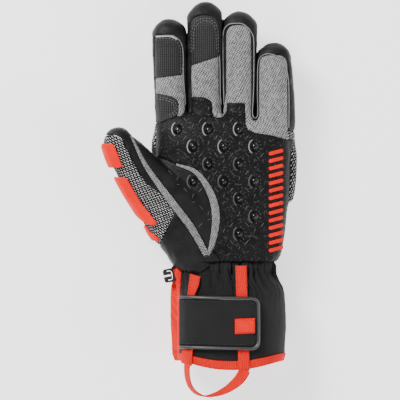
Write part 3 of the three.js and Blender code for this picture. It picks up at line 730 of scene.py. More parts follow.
def makeHem():  # a folded tape: outside, round the edge and back inside
    outer = cuffRings(hemRows, 0, hemLook["step"])
    inner = cuffRings(hemRows, -hemLook["thick"], hemLook["step"])
    edge = []
    for angle in np.radians(hemLook["angles"]):
        share = (1 - math.cos(angle)) / 2
        ring = outer[-1] * (1 - share) + inner[-1] * share
        ring[:, 1] -= hemLook["bulge"] * math.sin(angle)
        edge.append(ring)
    tube = tubeObject("hem_binding_piece", outer + edge + inner[::-1], closed=True)
    keepOffTable(tube)
    return tube


pieces["hem_binding"] = makeHem()

trims = {  # how far off the cuff they lie, how thick they are and how their edge turns in
    "strap_tab": {"lift": 1.8, "thick": 2.2, "edge": (0.5, 2, 0.5, 8)},
    "strap_edging": {"lift": 1.6, "thick": 2.4, "edge": (0.9, 1.2, 0.9, 1.6)},
    "strap_pull_patch": {"lift": 4.3, "thick": 1.1, "edge": (0.4, 1)},
    "right_webbing": {"lift": 0.3, "thick": 1.2, "edge": (0.3, 0.8)},
    "left_webbing": {"lift": 0.3, "thick": 1.2, "edge": (0.3, 0.8)},
}
hemOverlap = 2
tabSize = {"left": -16.4, "right": 47.6, "low": -116.6, "high": -74.6, "radius": 8, "slant": 1.4}
tabTuck, tabFloor, edgingWidth = 9, 33, 3.2
patchSize = {"left": 27.5, "right": 43.3, "low": -104.1, "high": -92, "radius": 1, "slant": -0.6}
rightWebbing = [(27.8, -49), (36.8, -49), (39.4, -140), (30.4, -140)]
leftWebbing = [(-7.5, -57.2), (0.6, -59.6), (-0.4, -66), (-4, -75), (-4.4, -100), (-6.6, -140),
               (-15.6, -140), (-12.8, -100), (-9.9, -75)]
webbingFloors = {"right": 24, "left": 29}


def overCuff(name):  # the smooth tube of a trim's outer side
    rows = [(*row[:6], 0, row[7], row[6]) for row in cuffRows[2:-1]]
    rows += [(*cuffRows[-1][:8], hemRows[0][8]), *hemRows]
    rows.append((hemRows[-1][0] - hemOverlap, *hemRows[-1][1:]))
    tube = tubeObject("layer", cuffRings(rows, trims[name]["lift"] + trims[name]["thick"]))
    markCut(tube)
    return tube


def rectangle(left, right, low, high, radius, slant):
    return [(left, low + slant / 2), (right, low - slant / 2, radius),
            (right, high - slant / 2, radius), (left, high + slant / 2)]


def makeTrims():
    width = edgingWidth
    inset = {"left": -tabTuck, "right": -width, "low": width, "high": -width, "radius": -width, "slant": 0}
    inner = rectangle(**{key: size + inset[key] for key, size in tabSize.items()})
    tab, edging = cutAway(overCuff("strap_tab"), roundCorners(inner, 8), underAll)
    column = columnOver(roundCorners(rectangle(**tabSize), 8), tabFloor)
    for name, layer in (("strap_tab", tab), ("strap_edging", edging)):
        pieces[name] = skinOf(booleanOf(layer, column, "INTERSECT"), name + "_piece")
    removeObjects(tab, edging, column)
    for name, outline, low in (
        ("strap_pull_patch", roundCorners(rectangle(**patchSize)), levels["palm"]),
        ("right_webbing", rightWebbing, webbingFloors["right"]),
        ("left_webbing", leftWebbing, webbingFloors["left"]),
    ):
        pieces[name] = skinInside(overCuff(name), outline, low, name + "_piece")
    for name, trim in trims.items():
        sew(name, trim["thick"], trim["edge"])


makeTrims()
print("trims laid on")

loopRows = [  # x, y, z of the webbing's middle, and its turn on edge
    (34.7, -132.2, 54.6, 0), (34, -135, 54.2, 8), (30.6, -139.8, 52.6, 24), (25.6, -144.4, 50.4, 40),
    (19.4, -148.4, 48.4, 54), (12, -151.4, 46.8, 70), (4, -152.6, 45.6, 90), (-3, -149.8, 44.8, 106),
    (-7.4, -144.4, 44.6, 114), (-9.4, -137.6, 45, 118), (-9.8, -131.6, 45.6, 120), (-9.4, -127.2, 46.1, 124),
]
loopLook = {"width": 9, "thick": 1.3, "across": 10, "edge": 0.12}


def makeLoop():  # a ribbon with rounded edges, and its weave coordinates
    table = smoothRows(loopRows, 8)
    ahead = np.gradient(table[:, :2], axis=0)
    ahead /= np.linalg.norm(ahead, axis=1)[:, None]
    u = np.linspace(-1, 1, loopLook["across"])
    flat = np.concatenate([u, u[::-1]]) * loopLook["width"] / 2
    side = np.maximum(np.sqrt(1 - np.abs(u) ** 6) * loopLook["thick"] / 2, loopLook["edge"])
    lift = np.concatenate([side, -side[::-1]])
    rings = []
    for (x, y, z, turn), (ax, ay) in zip(table, ahead):
        angle = math.radians(turn)
        outward = np.array([-ay * math.cos(angle), ax * math.cos(angle), math.sin(angle)])
        rings.append(ringOf(flat, lift, (x, y, z), outward, np.cross(outward, (ax, ay, 0))))
    loop = tubeObject("pull_loop", rings)
    run = runAlong(table[:, :3])
    setUvs(loop, np.tile(flat, len(run)), np.repeat(run, len(flat)))
    return loop


# The protectors: red shells over the thumb's knit

padOutlines = {  # outline, height off the thumb, wall, lowest edge, and the ridge with its rise
    "thumb_pad_tip": {
        "outline": [(-77, 44.4, 2), (-66.8, 43.7, 2), (-65.4, 40.2), (-63.6, 36.1), (-62.1, 31.9),
                    (-60.6, 27.8), (-59.8, 25.2, 1), (-67.5, 24.7), (-77, 25, 1)],
        "height": 3.4, "wall": 2.7, "low": 28,
        "ridge": [(-70.4, 42), (-69.9, 36.1), (-68.4, 31.3), (-65.7, 25)], "rise": 1.7, "slope": 6.5,
    },
    "thumb_pad_base": {
        "outline": [(-70, 18), (-57, 17.4, 2), (-46.5, -1), (-33, -18.2, 1), (-36.4, -20.6),
                    (-44.4, -17.6), (-70, 6)],
        "height": 3.4, "wall": 2.7, "low": 28,
        "ridge": [(-62, 16.5), (-57.4, 8), (-50, -4), (-41, -15), (-36, -19)], "rise": 1.6, "slope": 6,
    },
    "hand_pad": {
        "outline": [(-48, -20), (-42.4, -20.2), (-39, -25.2), (-32, -29.8), (-32, -32.4), (-48, -32)],
        "height": 1.9, "wall": 1, "low": 24, "ridge": None,
    },
}
padEdge = (0.7, 1.1)


def ridgeRise(obj, ridge, rise, slope):  # the pad slopes down on both sides of its ridge
    path = smoothRows(ridge, 12)
    away = np.min(np.linalg.norm(coordsOf(obj)[:, None, :2] - path[None], axis=2), axis=1)
    pushOut(obj, rise * (1 - np.clip(away / slope, 0, 1)))


def makePads():
    for name, pad in padOutlines.items():
        tube = tubeObject("padTube", thumbRings())
        markCut(tube)
        pushOut(tube, pad["height"])
        modify(tube, "SUBSURF", levels=2, subdivision_type="SIMPLE")
        if pad["ridge"]:
            ridgeRise(tube, pad["ridge"], pad["rise"], pad["slope"])
        pieces[name] = skinInside(tube, roundCorners(pad["outline"]), pad["low"], name + "_piece")
        rollEdge(pieces[name], *padEdge)
        thicken(pieces[name], pad["wall"])


makePads()
print("protectors on")

clipLook = {  # a C with a C-shaped slot in its bar
    "x": -23.8, "y": -58.9, "z": 25, "width": 8.6, "length": 10.8, "lean": 11, "corner": 2.4, "thick": 2.4,
    "inner": 1, "rim": 1.6, "slot": 0.6, "mouth": 1.2, "mouthDepth": 5.6, "mouthCorner": 0.5, "bevel": 0.35,
}
tapeLook = {
    "width": 2.2, "thick": 0.8, "x": -21.4, "y": -53.9, "lean": -36, "length": 8, "gap": 0.25,
    "bend": (50, 310), "steps": 22, "tails": 1.6, "near": 0.7, "end": 0.55,
}


def turned(points, degrees, x, y):
    c, s = math.cos(math.radians(degrees)), math.sin(math.radians(degrees))
    points = np.array(points, float)
    return np.stack([x + c * points[:, 0] - s * points[:, 1], y + s * points[:, 0] + c * points[:, 1]], 1)


def makeClip():
    c = clipLook
    w, h, rim, inner = c["width"] / 2, c["length"] / 2, c["rim"], c["inner"]
    bar = rim + c["slot"]

    def block(left, right, low, high, corner, past):  # past: how far it sticks out of the plate
        sides = [(left, low, corner), (right, low, corner), (right, high, corner), (left, high, corner)]
        outline = turned(roundCorners(sides, 6), c["lean"], c["x"], c["y"])
        return columnOver(outline, c["z"] - past, c["z"] + c["thick"] + past)

    slot = block(rim - w, w - rim, rim - h, h - rim, c["corner"], 2)
    slot = without(slot, block(bar - w, w - bar, bar - h, h - bar, inner, 3))
    slot = without(slot, block(-w - 9, bar + inner - w, -h - 1, h + 1, 0, 4))
    hook = without(block(-w, w, -h, h, c["corner"], 0), slot)
    mouth = c["mouth"] / 2
    hook = without(hook, block(-w - 2, c["mouthDepth"] - w, -mouth, mouth, c["mouthCorner"], 1))
    hook.name = "glove_clip_piece"
    modify(hook, "BEVEL", width=c["bevel"] * mm, segments=2, angle_limit=math.radians(50))
    bm = bmesh.new()
    bm.from_mesh(hook.data)
    bmesh.ops.triangulate(bm, faces=[face for face in bm.faces if len(face.verts) > 4])
    bmesh.ops.recalc_face_normals(bm, faces=bm.faces)
    bm.to_mesh(hook.data)
    bm.free()
    return hook


def makeClipTape():  # round the clip's rim, with both tails together into the seam
    c, t = clipLook, tapeLook
    middle = c["z"] + c["thick"] / 2
    reachY = c["rim"] / 2 + t["gap"] + t["thick"] / 2
    reachZ = c["thick"] / 2 + t["gap"] + t["thick"] / 2
    near, end = t["near"] * t["thick"], t["end"] * t["thick"]  # how far each tail is from the middle
    path = [(t["length"], middle + end), (reachY + t["tails"], middle + near)]
    for angle in np.radians(np.linspace(*t["bend"], t["steps"])):
        y, z = math.cos(angle), math.sin(angle)
        scale = (abs(y) ** 4 + abs(z) ** 4) ** -0.25
        path.append((reachY * y * scale, middle + reachZ * z * scale))
    path += [(reachY + t["tails"], middle - near), (t["length"], middle - end)]
    u, v = superellipse(12, 5, t["width"] / 2, t["thick"] / 2)
    rings = []
    for i, (y, z) in enumerate(path):
        before, after = path[max(0, i - 1)], path[min(len(path) - 1, i + 1)]
        way = np.array([0, after[0] - before[0], after[1] - before[1]])
        way /= np.linalg.norm(way)
        ring = ringOf(u, v, (0, y, z), (1, 0, 0), np.cross((1, 0, 0), way))
        ring[:, :2] = turned(ring[:, :2], t["lean"], t["x"], t["y"])
        rings.append(ring)
    return tubeObject("clip_tab_piece", rings)


pieces["glove_clip"] = makeClip()
pieces["clip_tab"] = makeClipTape()
print("clip made")


# Piping, stitches and prints are laid on the finished surface from above

def treeOf(skins):
    points, faces, owners = [], [], []
    for name, co, polygons in skins:
        start = len(points)
        points += [Vector(point) for point in co]
        faces += [[start + i for i in polygon] for polygon in polygons]
        owners += [name] * len(polygons)
    return BVHTree.FromPolygons(points, faces), owners


topTree, topOwners = treeOf(topSkins)
extras = {}  # laid on top: name, with its object and finish


def keepExtra(name, bm, finish):
    extras[name] = (newObject(name, bm), finish)


def dropOn(path):  # points, normals and the names of the pieces that a path meets
    points, normals, names = [], [], []
    for x, y in path:
        point, normal, index, _ = topTree.ray_cast(Vector((x, y, overAll)), Vector((0, 0, -1)))
        if point is None:
            point, normal, index = Vector((x, y, 0)), Vector((0, 0, 1)), -1
        points.append(point)
        normals.append(normal if normal.z > 0 else -normal)
        names.append(topOwners[index] if index >= 0 else "")
    return np.array(points), np.array(normals), names


def evenly(path, pitch):
    path = np.array(path, float)
    run = runAlong(path)
    places = np.linspace(0, run[-1], max(2, round(run[-1] / pitch) + 1))
    return np.stack([np.interp(places, run, path[:, 0]), np.interp(places, run, path[:, 1])], 1)


def evened(values, rounds):
    for _ in range(rounds):
        padded = np.vstack([values[:1], values, values[-1:]])
        values = (padded[:-2] + 2 * padded[1:-1] + padded[2:]) / 4
    return values


def unit(vectors):
    return vectors / np.linalg.norm(vectors, axis=1)[:, None]


cordLook = {"pitch": 0.9, "upright": 0.5, "endScale": 0.55}


def layCord(bm, path, width, height, lift=0.0, rounds=3, sides=8, power=2):
    points, normals, _ = dropOn(evenly(path, cordLook["pitch"]))
    z = points[:, 2]
    wide = np.concatenate([z[:1], z[:1], z, z[-1:], z[-1:]])
    highest = np.max([wide[i:i + len(z)] for i in range(5)], axis=0)  # over any step beside it
    points[:, 2] = evened(highest[:, None], rounds)[:, 0]
    normals = unit(evened(normals, rounds + 2) + np.array([0, 0, cordLook["upright"]]))
    ahead = unit(np.gradient(points, axis=0))
    across = unit(np.cross(ahead, normals))
    up = np.cross(across, ahead)
    u, v = superellipse(sides, power, width / 2, height / 2)
    scale = np.ones(len(points))
    scale[[0, -1]] = cordLook["endScale"]
    addTube(bm, [
        ringOf(u * k, v * k, p + n * lift, a, n) for p, a, n, k in zip(points, across, up, scale)
    ])


def layStitches(bm, path, pitch, size, lift=0.05):  # size: length, width and height
    points, normals, _ = dropOn(evenly(path, pitch))
    for p, n, a in zip(points, normals, np.gradient(points, axis=0)):
        up = Vector(n)
        along = Vector(a).normalized()
        across = up.cross(along).normalized()
        turn = Matrix((along, across, up)).transposed().to_4x4()
        place = Matrix.Translation((Vector(p) + up * lift) * mm) @ turn
        bmesh.ops.create_icosphere(
            bm, subdivisions=1, radius=mm / 2, matrix=place @ Matrix.Diagonal((*size, 1)),
        )


piping = {  # edge cords of the fingers, from one side over the tip to the other
    "index": [(-34.6, 127.6), (-24, 128.2), (-19, 127.2), (-14.9, 123.4), (-13, 117), (-12.7, 105),
              (-12.4, 92), (-11.4, 82), (-10.9, 74)],
    "middle": [(15.5, 113), (16, 100), (16.1, 84), (16.9, 74)],
    "ring": [(19.2, 74), (18.8, 90), (18.5, 112), (18.5, 128), (19.6, 133.4), (22.8, 136.7), (28, 137.6),
             (33.4, 137.2), (38, 134), (41.2, 129), (42.3, 122), (42.3, 100), (42, 84), (41.3, 70),
             (41.6, 65.4), (43.3, 63.6), (45.2, 65.4), (45.6, 70), (45.2, 84), (45.4, 100),
             (45.7, 106), (46.8, 110.4), (50, 113.2), (54.4, 113.9), (59.6, 112.4), (64.2, 108.4),
             (67.6, 102), (69.2, 94), (69.7, 84), (69.8, 70), (69.6, 56)],
}
pipingSize = {"width": 0.75, "height": 0.9, "lift": 0.15}
indexTape = [(-33.8, 127.0), (-25, 127.4), (-20.4, 126.6), (-17.4, 124.8)]
indexTapeSize = {"width": 1.1, "height": 0.5, "lift": 0.3}


def layPiping():
    bm, tape = bmesh.new(), bmesh.new()
    for path in piping.values():
        layCord(bm, smoothRows(path, 8), **pipingSize, rounds=6)
    layCord(tape, smoothRows(indexTape, 8), **indexTapeSize, power=4)
    keepExtra("finger_piping", bm, "pipingCloth")
    keepExtra("index_tape", tape, "tape")


fingerSeams = {  # the folds along which neighbouring fingers are sewn together
    "halfWidth": 1.3, "halfDepth": 5, "level": (20, 28),
    "from": {"indexMiddle": (66, 130), "middleRing": (66, 141), "ringLittle": (62, 115)},
}


def layFingerSeams():
    bm = bmesh.new()
    u, v = superellipse(16, 2, fingerSeams["halfWidth"], fingerSeams["halfDepth"])
    for name, (start, end) in fingerSeams["from"].items():
        spots = np.linspace(start, end, 24)
        heights = np.interp(spots, slitSpan[::-1], fingerSeams["level"])
        addTube(bm, [ringOf(u, v, (slitAt(name, y), y, z)) for y, z in zip(spots, heights)])
    keepExtra("finger_seams", bm, "darkThread")


stitching = {
    "thread": (1.9, 0.42, 0.4), "pitch": 2.5,
    "grip_stitches": [
        [(-33, 80.6), (-26, 79.4), (-19.6, 77), (-17.6, 73), (-17.6, 68), (-22, 65)],
        [(-33, 78.8), (-26, 77.8), (-21, 75.6), (-19.2, 72), (-19.2, 69), (-23, 66.6)],
        [(-6.4, 116), (-6.4, 132), (-3.6, 138.4), (2, 141.6), (8, 141.2), (12.8, 137.4), (14.6, 131),
         (14.8, 116)],
        [(-4.6, 118), (-4.6, 131), (-2, 136.6), (3, 139.6), (7.6, 139.2), (11.4, 136), (12.9, 130),
         (13.1, 118)],
        [(-33.4, 125.6), (-24, 125.8), (-18, 124), (-15, 119), (-14.6, 112), (-14.6, 100)],
    ],
    "cuff_stitches": [
        [(28.8, -50), (30.2, -78)], [(35.8, -50), (37.2, -78)],
        [(-6.6, -60), (-8.8, -76)], [(-0.6, -62), (-3.6, -76)],
        [(-15, -78.4), (40, -79), (43, -81.6), (43.8, -85), (43.8, -106), (42.6, -110.4), (39.6, -112.6),
         (-15, -111.6)],
        [(28.6, -93.2), (42.2, -93.2), (42.2, -102.9), (28.6, -102.9), (28.6, -93.2)],
    ],
}


def layThreads():
    for name, finish in (("grip_stitches", "thread"), ("cuff_stitches", "darkThread")):
        bm = bmesh.new()
        for path in stitching[name]:
            layStitches(bm, path, stitching["pitch"], stitching["thread"])
        keepExtra(name, bm, finish)


palmPrint = {
    "pitch": (24, 13.6), "start": (-29, -40), "rows": 10, "columns": 5, "radius": (4.6, 5.6),
    "crescent": (1.0, 0.4), "bow": (112, 248), "dot": (0.9, 0.9, 0.4), "dotAngles": (-75, 90, 30),
    "dome": (7.4, 9.4, 0.9), "dash": (0.5, 0.35), "dimRows": 5,
    "dashes": ((12, 2.6, 3.4, 70), (12.6, -2.4, 2.6, 10), (6.2, 7, 4.6, -50), (17.8, 7, 4.6, 50)),
    "left": -31, "right": 51, "low": -42, "high": 77, "panels": ("palm_panel", "thumb_leaf"),
}


def inZone(*spots):  # all on one and the same printed panel
    zone = palmPrint
    owners = dropOn(spots)[2]
    inside = all(zone["left"] < x < zone["right"] and zone["low"] < y < zone["high"] for x, y in spots)
    return inside and len(set(owners)) == 1 and owners[0] in zone["panels"]


def layDrop(bm, x, y, size, **lift):
    layStitches(bm, [(x, y), (x + 0.1, y)], 5, size, **lift)


def layPrints():  # open rings with dots, and short dashes between them
    light, dim, dark = bmesh.new(), bmesh.new(), bmesh.new()
    look = palmPrint
    rx, ry = look["radius"]
    arc = np.radians(np.linspace(*look["bow"], 14))
    for row, column in np.ndindex(look["rows"], look["columns"]):
        x = look["start"][0] + (column + 0.5 * (row % 2)) * look["pitch"][0]
        y = look["start"][1] + row * look["pitch"][1]
        if inZone((x, y), (x - rx, y), (x + rx, y), (x, y - ry), (x, y + ry)):
            bow = light if row > look["dimRows"] else dim
            crescent = np.stack([x + rx * np.cos(arc), y + ry * np.sin(arc)], 1)
            layCord(bow, crescent, *look["crescent"], power=3)
            for angle in np.radians(np.arange(*look["dotAngles"])):
                layDrop(dim, x + rx * math.cos(angle), y + ry * math.sin(angle), look["dot"])
            layDrop(dark, x, y, look["dome"], lift=0.1)
        for dx, dy, length, lean in look["dashes"]:
            way = np.array([math.cos(math.radians(lean)), math.sin(math.radians(lean))]) * length / 2
            middle = np.array([x + dx, y + dy])
            if inZone(tuple(middle - way * 1.3), tuple(middle), tuple(middle + way * 1.3)):
                layCord(dim, [middle - way, middle + way], *look["dash"])
    for name, bm, finish in (("palm_print", light, "printLight"), ("palm_dots", dim, "printDim"),
                             ("palm_domes", dark, "printDark")):
        keepExtra(name, bm, finish)


redBars = {"left": 54, "right": 65.2, "low": -39.6, "high": 36, "pitch": 5.8, "rise": 3, "width": 3,
           "height": 0.5}


def layBars():
    bm = bmesh.new()
    b = redBars
    for y in np.arange(b["low"], b["high"], b["pitch"]):
        path = [(b["left"], y), (b["right"], y + b["rise"])]
        layCord(bm, path, b["width"], b["height"], power=6, sides=12)
    keepExtra("palm_bars", bm, "rubber")


for lay in (layPiping, layFingerSeams, layThreads, layPrints, layBars):
    lay()
print("piping, stitches and prints", {name: len(obj.data.polygons) for name, (obj, _) in extras.items()})


# Weave coordinates: along each tube and round it

fingerWeave = {"radius": 14, "flatBelow": 66}
overBulge = 0.35


def rowAt(rows, key, y):
    table = np.array(rows, float)
    order = np.argsort(table[:, 0])
    return np.interp(y, table[order, 0], table[order, key])


def aroundTube(dx, dz, half, depth):  # the way round a flattened tube, from the middle of its top
    size = np.maximum(np.maximum(np.abs(dx) / half, np.abs(dz) / depth), 1e-6)
    x, z = dx / size, dz / size
    side = np.sign(dx)
    onSide = np.abs(dx) / half > np.abs(dz) / depth
    below = side * (2 * depth + 2 * half - np.abs(x))
    return np.where(onSide, side * (half + depth - z), np.where(dz > 0, x, below)), 4 * (half + depth)


def weaveOnFinger(obj, co, finger):
    y = co[:, 1]
    rows = fingers[finger]["rows"]
    x, z = rowAt(rows, 1, y), rowAt(rows, 3, y)
    if obj.name.startswith("ring_front"):
        rows = fingers["little"]["rows"]
        beyond = co[:, 0] > slits["ringLittle"][1]
        x, z = np.where(beyond, rowAt(rows, 1, y), x), np.where(beyond, rowAt(rows, 3, y), z)
    radius = fingerWeave["radius"]
    round_ = x + radius * np.arctan2(co[:, 0] - x, co[:, 2] - z)
    flat = smooth01((fingerWeave["flatBelow"] - y) / 6) * ("front" in obj.name)
    setUvs(obj, round_ + flat * (co[:, 0] - round_), y, np.full(len(co), 2 * radius * math.pi))


def weaveOnThumb(obj, co):
    along, side = onThumb(co)
    side -= rowAt(thumbRows, 1, along)
    radius = (rowAt(thumbRows, 2, along) + rowAt(thumbRows, 4, along)) / 2
    angle = np.arctan2(side, co[:, 2] - rowAt(thumbRows, 3, along))
    setUvs(obj, radius * angle, along, 2 * math.pi * radius)


def weaveOnTube(obj, co, rows):
    y = co[:, 1]
    left, right, low, high = (rowAt(rows, key, y) for key in (1, 2, 3, 4))
    dx, half = co[:, 0] - (left + right) / 2, (right - left) / 2
    u, period = aroundTube(dx, co[:, 2] - (low + high) / 2, half, (high - low) / 2)
    if obj.name.startswith("back_panel"):  # out over the bulge and in again below it
        bulge = np.where(dx < 0, rowAt(rows, 5, y), rowAt(rows, 6, y))
        over = np.clip(np.abs(dx) - half, 0, bulge)
        u += overBulge * np.sign(dx) * np.where(co[:, 2] > bodyLook["bulgeHeight"], over, 2 * bulge - over)
    setUvs(obj, u, y, period)


def weaveOn(name, obj):
    co, first = coordsOf(obj), name.split("_")[0]
    if first in fingers:
        weaveOnFinger(obj, co, first)
    elif first == "thumb" or name == "hand_pad":
        weaveOnThumb(obj, co)
    else:
        onHand = name in ("palm_panel", "back_panel", "thenar_band")
        weaveOnTube(obj, co, palmRows if onHand else cuffRows + hemRows)


def joined(name, objects):
    bm = bmesh.new()
    for obj in objects:
        bm.from_mesh(obj.data)
    removeObjects(*objects)
    return newObject(name, bm)


for name, obj in pieces.items():
    weaveOn(name, obj)
webbingParts = [pieces.pop("right_webbing"), pieces.pop("left_webbing"), makeLoop()]
pieces["pull_webbing"] = joined("pull_webbing_piece", webbingParts)


# Materials

class Surface:  # one material in the making

    def __init__(self, name, roughness, level=0.5):
        self.material = bpy.data.materials.new(name)
        self.material.use_nodes = True
        self.tree = self.material.node_tree
        self.shader = self.tree.nodes["Principled BSDF"]
        self.feed(self.shader, {"Roughness": roughness, "Specular IOR Level": level})

    def feed(self, node, inputs):
        for key, value in inputs.items():
            if isinstance(value, bpy.types.NodeSocket):
                self.tree.links.new(value, node.inputs[key])
            else:
                node.inputs[key].default_value = value
        return node

    def node(self, kind, inputs, **settings):
        made = self.tree.nodes.new("ShaderNode" + kind)
        for key, value in settings.items():
            setattr(made, key, value)
        return self.feed(made, inputs)

    def plus(self, a, b, operation="ADD"):
        return self.node("Math", {0: a, 1: b}, operation=operation).outputs[0]

    def times(self, a, b):
        return self.plus(a, b, "MULTIPLY")

    def place(self):
        return self.node("TexCoord", {}).outputs["Object"]

    def cloud(self, scale, detail=2):
        inputs = {"Vector": self.place(), "Scale": scale, "Detail": detail}
        return self.node("TexNoise", inputs).outputs["Fac"]

    def weaveAt(self, degrees=0.0, scale=(1, 1, 1)):  # the piece's own coordinates, in cm
        uv = self.node("TexCoord", {}).outputs["UV"]
        turn = (0, 0, math.radians(degrees))
        return self.node("Mapping", {"Vector": uv, "Rotation": turn, "Scale": scale}).outputs["Vector"]

    def ribs(self, pitch, degrees=0.0):  # pitch in mm
        inputs = {"Vector": self.weaveAt(degrees), "Scale": math.pi / pitch}
        return self.node("TexWave", inputs).outputs["Fac"]

    def ramp(self, factor, *stops):
        made = self.node("ValToRGB", {"Fac": factor})
        for element, (place, color) in zip(made.color_ramp.elements, stops):
            element.position = place
            element.color = (*color, 1)
        return made.outputs["Color"]

    def paint(self, color):
        self.feed(self.shader, {"Base Color": color})

    def bump(self, height, distance, strength=1.0):
        inputs = {"Height": height, "Distance": distance * mm, "Strength": strength}
        self.feed(self.shader, {"Normal": self.node("Bump", inputs).outputs["Normal"]})


def grey(value):
    return (value, value, value)


def scaled(tone, by):
    return [channel * by for channel in tone]


def leather(name, tone, sheen, grain, level, grainHighlight=0.0):
    s = Surface(name, sheen, level)
    cells = s.node("TexVoronoi", {"Vector": s.place(), "Scale": 1000 / grain}).outputs["Distance"]
    wear = s.cloud(90, 6)
    color = s.ramp(wear, (0.3, scaled(tone, 0.7)), (0.7, scaled(tone, 1.5)))
    if grainHighlight:  # painted highlights on the pebbled grain: pale flecks added to the colour
        dots = s.ramp(s.cloud(620), (0.56, grey(0)), (0.72, grey(grainHighlight)))
        color = s.node("VectorMath", {0: color, 1: dots}, operation="ADD").outputs[0]
    s.paint(color)
    rough = s.node("MapRange", {"Value": wear, "To Min": sheen - 0.1, "To Max": sheen + 0.12})
    s.feed(s.shader, {"Roughness": rough.outputs[0]})
    s.bump(s.plus(s.times(cells, -0.6), wear), 0.35, 0.6)
    return s.material


def twill(name, dark, light, pitch, height):  # heather cloth: a twill of pale and dark yarns
    s = Surface(name, 0.85)
    weave = s.times(s.plus(s.ribs(pitch, 28), s.ribs(pitch * 0.8, -56)), 0.5)
    yarns = s.node("TexVoronoi", {"Vector": s.weaveAt(28, (1, 0.7, 1)), "Scale": 16 / pitch})
    fleck = s.node("SeparateColor", {"Color": yarns.outputs["Color"]}).outputs[0]
    tone = s.plus(s.times(weave, 0.72), s.times(fleck, 0.28))
    s.paint(s.ramp(tone, (0.2, grey(dark)), (0.8, grey(light))))
    s.bump(weave, height)
    return s.material


def gripCloth(name):  # ribs along the finger, each broken into dots
    s = Surface(name, 0.6, 0.3)
    both = s.times(s.ribs(1.5), s.plus(s.times(s.ribs(1.3, 90), 0.6), 0.4))
    s.paint(s.ramp(both, (0.15, grey(0.003)), (0.85, grey(0.045))))
    s.bump(both, 0.35)
    return s.material


def knitCloth(name):  # pale dashes on black, in slanting rows
    s = Surface(name, 0.9, 0.2)
    bricks = s.node("TexBrick", {
        "Vector": s.weaveAt(-63.7), "Color1": (*grey(0.8), 1), "Color2": (*grey(0.42), 1),
        "Mortar": (*grey(0.004), 1), "Scale": 1.0, "Mortar Size": 0.055, "Mortar Smooth": 0.15,
        "Brick Width": 0.3, "Row Height": 0.155,
    }, offset=0.5)
    s.paint(bricks.outputs["Color"])
    stitches = s.plus(1, bricks.outputs["Fac"], "SUBTRACT")
    s.bump(s.plus(stitches, s.times(s.ribs(0.5, -3.7), 0.3)), 0.35)
    return s.material


def shellCloth(name, tone):
    s = Surface(name, 0.7, 0.3)
    weave, cloud = s.plus(s.ribs(0.7), s.ribs(0.7, 90)), s.cloud(60, 5)
    s.paint(s.ramp(s.plus(s.times(weave, 0.2), cloud), (0.4, grey(tone * 0.7)), (1.0, grey(tone * 1.6))))
    s.bump(s.plus(weave, cloud), 0.15)
    return s.material


def redWebbing(name):
    s = Surface(name, 0.7, 0.15)
    weave = s.plus(s.ribs(1.4), s.times(s.ribs(0.8, 90), 0.6))
    s.paint(s.ramp(weave, (0.1, scaled(redTone, 0.72)), (1.2, redTone)))
    s.bump(weave, 0.3)
    return s.material


def redRubber(name):
    s = Surface(name, 0.6, 0.08)
    s.paint(s.ramp(s.cloud(120, 4), (0.3, scaled(redTone, 0.85)), (0.7, redTone)))
    s.bump(s.cloud(900), 0.08)
    return s.material


def blackPlastic(name):
    s = Surface(name, 0.35)
    fine = s.cloud(700, 3)
    s.paint(s.ramp(fine, (0.3, grey(0.012)), (0.7, grey(0.022))))
    s.bump(fine, 0.05)
    return s.material


def plain(name, tone, roughness, level=0.4):
    s = Surface(name, roughness, level)
    s.paint(s.ramp(s.cloud(500, 3), (0.3, grey(tone * 0.75)), (0.7, grey(tone * 1.2))))
    return s.material


redTone = (0.86, 0.009, 0.003)
finishes = {
    "leather": leather("black_leather", (0.0085, 0.0085, 0.009), 0.5, 1.1, 0.14),
    # the palm leather's last value is the strength of the painted highlights on its pebbled grain
    "palmLeather": leather("palm_leather", (0.005, 0.005, 0.0054), 0.55, 1.4, 0.12, 0.035),
    "grey": twill("grey_cloth", 0.015, 0.35, 1.75, 0.25),
    "band": twill("band_cloth", 0.02, 0.3, 1.5, 0.2),
    "pipingCloth": plain("piping_cloth", 0.2, 0.7),
    "thread": plain("pale_thread", 0.16, 0.6),
    "darkThread": plain("dark_thread", 0.03, 0.5),
    "tape": plain("pale_tape", 0.4, 0.5),
    "printLight": plain("pale_print", 0.2, 0.4),
    "printDim": plain("dim_print", 0.06, 0.4),
    "printDark": plain("gloss_print", 0.004, 0.22, 0.5),
    "grip": gripCloth("grip_cloth"),
    "knit": knitCloth("knit"),
    "shell": shellCloth("shell_cloth", 0.004),
    "webbing": redWebbing("red_webbing"),
    "rubber": redRubber("red_rubber"),
    "plastic": blackPlastic("black_plastic"),
    "edging": plain("satin_edging", 0.03, 0.4, 0.6),
}
finishOf = {
    "leather": ["thumb_leaf", "thumb_tip", "thumb_base_patch", "index_back", "middle_back", "ring_back",
                "little_back", "clip_tab"],
    "edging": ["strap_edging"],
    "palmLeather": ["palm_panel"],
    "grey": ["index_front", "middle_front", "ring_front"],
    "band": ["thumb_band", "thenar_band"],
    "grip": ["index_tip_patch", "index_base_patch", "middle_tip_patch"],
    "knit": ["thumb_knit", "back_panel"],
    "shell": ["cuff", "strap_tab"],
    "rubber": ["thumb_pad_tip", "thumb_pad_base", "hand_pad", "strap_pull_patch"],
    "webbing": ["side_binding", "hem_binding", "pull_webbing"],
    "plastic": ["glove_clip"],
}
padding = {"palm_panel", "back_panel", "thumb_knit", "thumb_tip", "thumb_leaf", "thumb_base_patch"}
padding |= {"index_front", "middle_front", "ring_front", *(f"{finger}_back" for finger in fingers)}


def dress(piece, finish):
    piece.data.materials.clear()
    piece.data.materials.append(finishes[finish])
    for face in piece.data.polygons:
        face.material_index = 0
        face.use_smooth = finish != "plastic"


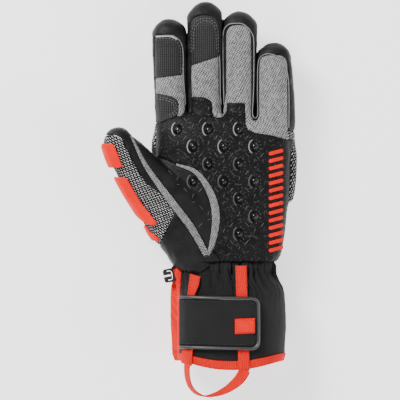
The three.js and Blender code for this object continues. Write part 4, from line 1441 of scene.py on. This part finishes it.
for finish, names in finishOf.items():
    for name in names:
        piece = pieces[name]
        dress(piece, finish)
        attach(piece, "root")
        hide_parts(name, *(["little_front"] if name == "ring_front" else []))
for name, (piece, finish) in extras.items():
    dress(piece, finish)
    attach(piece, "root")
print("finishes on")


# Floor, light and the camera straight above

view = {"scale": 0.78, "pixels": 400, "middle": 199.5, "distance": 8000, "level": 30, "sensor": 36}
stageLook = {"size": 6, "depth": 0.0004, "tone": 0.95, "glow": 1.2, "world": 0.35}
lights = {  # place, size and power
    "key": ((-1.1, 1.2, 1.4), 0.8, 70), "fill": ((1.5, -0.6, 1.2), 1.2, 22),
    "low": ((-0.2, -1.6, 1.3), 1, 20),
}


def makeStage():
    bm = bmesh.new()
    bmesh.ops.create_grid(bm, x_segments=1, y_segments=1, size=stageLook["size"])
    floor = newObject("floor", bm)
    floor.location.z = -stageLook["depth"]
    s = Surface("floor_white", 0.9)
    s.paint((*grey(stageLook["tone"]), 1))
    s.feed(s.shader, {"Emission Color": (1, 1, 1, 1), "Emission Strength": stageLook["glow"]})
    floor.data.materials.append(s.material)


def makeLights():
    for name, (place, size, power) in lights.items():
        data = bpy.data.lights.new(name, "AREA")
        data.shape = "SQUARE"
        data.size = size
        data.energy = power
        lamp = linked(bpy.data.objects.new(name, data))
        lamp.location = place
        lamp.rotation_euler = (-Vector(place)).to_track_quat("-Z", "Y").to_euler()
    scene.world = bpy.data.worlds.new("studio")
    scene.world.use_nodes = True
    sky = scene.world.node_tree.nodes["Background"]
    sky.inputs["Color"].default_value = (1, 1, 1, 1)
    sky.inputs["Strength"].default_value = stageLook["world"]


def makeCamera():
    data = bpy.data.cameras.new("camera")
    data.sensor_width = view["sensor"]
    data.lens = data.sensor_width * view["distance"] / (view["scale"] * view["pixels"])
    data.clip_end = 50
    camera = linked(bpy.data.objects.new("camera", data))
    x = (view["pixels"] / 2 - view["middle"]) * view["scale"]
    camera.location = (x * mm, 0, (view["level"] + view["distance"]) * mm)
    scene.camera = camera


makeStage()
makeLights()
makeCamera()
